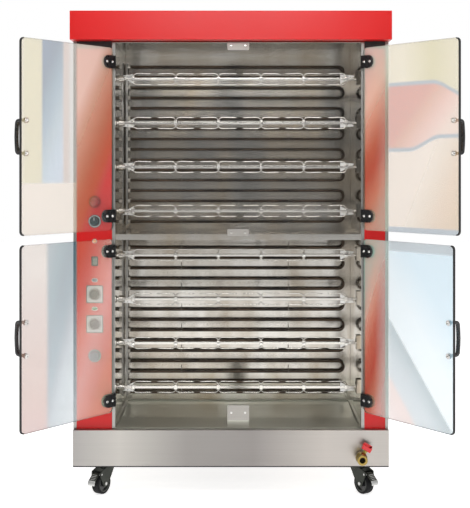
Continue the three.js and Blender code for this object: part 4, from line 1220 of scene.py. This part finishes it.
def brake_pedal(name, place):
    """A pressed pedal with a ribbed, rounded foot plate."""
    y, z = BRAKE["y"], BRAKE["z"]
    piece = Piece(f"pedal_{name}")
    piece.add(hoop(mirrored([(3.1, 14.2), (4.6, 14.2)]), 28), PEDAL, along_x(0, y, z))
    plate = [(-2, 4.4), (-9, 3), (-34, -19), *arc(-34, -25, 3.6, 60, 180, 5), (-37.2, -34), (-33.6, -34),
             (-33.4, -25), (-31, -21.5), (-8, -1)]
    pad = [(-38.4, -35), (-36.9, -35.6), (-36.4, -26), (-33, -19.5), (-34.4, -18), (-38, -24.5)]
    plate, pad = ([(y + py, z + pz) for py, pz in outline] for outline in (plate, pad))
    piece.add(stood(SIDEWAYS, plate, -14, 14, 1.1, 2, 50), ZINC)
    piece.add(stood(SIDEWAYS, pad, -14.6, 14.6, 0.4, 2, 40), PEDAL)
    slope = 22 / 25  # how fast the foot plate falls
    for i in range(BRAKE["ribs"]):
        out = BRAKE["rib_pitch"] * i
        rib = turned([(0, -10), (1.1, -9.4), (1.1, 9.4), (0, 10)], 10)
        piece.add(rib, PEDAL, along_x(0, y - 14 - out, z + 3.4 - slope * (5 + out)))
    piece.finish("brushed_steel", f"pedal_{name}", place, [f"brake_pedal_{name}"])


def caster_plate(name, x, y):
    """The swivel's top plate with its four bolts, fixed below the plinth."""
    piece = Piece(f"caster_plate_{name}")
    base, bolts = CASTER["top"] + 0.6, CASTER["bolts"]
    piece.add(prism(plaque(41, 41, 6), base - 0.4, base + 3, 0.8), ZINC, moved(x, y, 0))
    for side in (-1, 1):
        for end in (-1, 1):
            downward = moved(x + side * bolts, y + end * bolts, base - 0.3) @ turn(180, "X")
            piece.add(bolt_head(7, 4.4, 5.2), CHROME, downward)
    piece.finish("zinc")


def make_casters():
    for name in ("front_left", "front_right", "rear_left", "rear_right"):
        braked = name.startswith("front")
        x, y = JOINTS[f"swivel_{name}"]["pos_m"][:2]
        axle = JOINTS[f"roll_{name}"]["axis"]
        place = moved(x, y, 0) @ Matrix.Rotation(math.atan2(axle[1], axle[0]), 4, "Z")
        caster_fork(name, place, braked)
        caster_wheel(name, place)
        if braked:
            brake_pedal(name, place)
        point = joint_place(f"swivel_{name}")
        caster_plate(name, point.x, point.y)


make_casters()

# ---- Chain ----

LINK = {"pitch": 12.7, "plate": 2.65, "end": 2.4, "gaps": (2.8, 2.0), "thickness": 0.6}


def drive_chain():
    """A roller chain of plates and rollers round the top and bottom sprockets."""
    low, high = layout_box("drive_chain")
    x, middle_y = (low.x + high.x) / 2, (low.y + high.y) / 2
    half_width = (high.y - low.y) / 2
    radius = half_width - LINK["plate"]
    top, bottom = high.z - half_width, low.z + half_width
    straight, bend = top - bottom, math.pi * radius
    length = 2 * straight + 2 * bend
    count = 2 * round(length / LINK["pitch"] / 2)

    def point(distance):
        """Where a pin lies: up the near side, over the top, down the far side and round the bottom."""
        second_half, distance = divmod(distance % length, straight + bend)
        side, start, end = (-1, top, bottom) if second_half else (1, bottom, top)
        if distance < straight:
            return side * radius, start + side * distance
        angle = (distance - straight) / radius
        return side * radius * math.cos(angle), end + side * radius * math.sin(angle)

    chain = Piece("roller_chain")
    for i in range(count):
        y0, z0 = point(length * i / count)
        y1, z1 = point(length * (i + 1) / count)
        pin = (x, middle_y + y0, z0)
        reach = math.hypot(y1 - y0, z1 - z0)
        place = moved(*pin) @ Matrix.Rotation(math.atan2(z1 - z0, y1 - y0), 4, "X")
        chain.add(rod(2.1, -1.6, 1.6, 8), ZINC, along_x(*pin))
        gap = LINK["gaps"][i % 2]
        outline = arc(0, 0, LINK["end"], 90, 270, 3) + arc(reach, 0, LINK["end"], -90, 90, 3)
        for side in (-1, 1):
            near, far = sorted((side * gap, side * (gap + LINK["thickness"])))
            chain.add(prism(outline, near, far), ZINC, place @ SIDEWAYS)
    chain.finish("zinc", replaces=["drive_chain"])


drive_chain()

# ---- Small fixings ----


def panel_screws():
    """Pan-head screws down the rear panel's edges."""
    low, high = layout_box("rear_panel")
    screws = Piece("rear_screws")
    for x in (low.x + 18, high.x - 18):
        for i in range(6):
            z = low.z + 40 + (high.z - low.z - 80) * i / 5
            screws.add(screw_head(4.5, 2.4), CHROME, moved(x, high.y - 0.2, z) @ REARWARD)
    screws.finish("brushed_steel")


panel_screws()

# ---- Floor, backdrop and light ----

FLOOR = {"reach": 14, "below": 0.0005, "glow": 0.7}  # its glow keeps its far edge as white as the backdrop
FRONT_GLOW, SIDE_GLOW = 0.16, 0.5


def make_stage():
    floor = Shader("floor", Roughness=0.7, Emission_Strength=FLOOR["glow"], Emission_Color=(1, 1, 1, 1))
    floor.finish(floor.mixed(floor.noise(3), (0.86, 0.86, 0.86), (0.88, 0.88, 0.88)))
    mesh = bpy.data.meshes.new("floor")
    reach = FLOOR["reach"]
    corners = [(-reach, -reach, 0), (reach, -reach, 0), (reach, reach, 0), (-reach, reach, 0)]
    mesh.from_pydata(corners, [], [(0, 1, 2, 3)])
    mesh.materials.append(floor.material)
    plane = linked("floor", mesh)
    plane.location.z = -FLOOR["below"]


def soft_light(name, place, target, size, power):
    data = bpy.data.lights.new(name, "AREA")
    data.shape = "RECTANGLE"
    data.size, data.size_y = size
    data.energy = power
    light = linked(name, data)
    light.location = place
    light.rotation_euler = (Vector(target) - Vector(place)).to_track_quat("-Z", "Y").to_euler()


def make_world():
    """A white studio that lights less from the side that the oven's front faces."""
    world = bpy.data.worlds.new("studio")
    bpy.context.scene.world = world
    sky = Nodes(world)
    towards = sky.node("SeparateXYZ", Vector=sky.node("TexCoord").outputs["Generated"]).outputs["Y"]
    strength = sky.node("Mix")
    sky.fill(strength.inputs[0], sky.node("LightPath").outputs["Is Camera Ray"])
    sky.fill(strength.inputs[2], sky.ranged(towards, FRONT_GLOW, SIDE_GLOW, -1, 0.3))
    sky.fill(strength.inputs[3], 1.0)
    background = sky.tree.nodes["Background"]
    sky.fill(background.inputs["Color"], (1, 1, 1, 1))
    sky.fill(background.inputs["Strength"], strength.outputs[0])


make_stage()
make_world()
soft_light("front_light", (0, -5.4, 2.75), (0, 0, 1.7), (1.7, 0.7), 32)
soft_light("key_light", (0, -3.0, 3.7), (0, 0, 1.3), (2.2, 1.0), 34)
soft_light("left_light", (-4.2, -3.0, 3.2), (0, 0, 1), (1.8, 2.4), 35)
soft_light("right_light", (4.4, -2.8, 2.8), (0, 0, 0.9), (1.8, 2.4), 30)
soft_light("top_light", (0, 0.2, 5.0), (0, 0, 0), (6, 6), 115)
bpy.context.scene.view_settings.view_transform = "Standard"
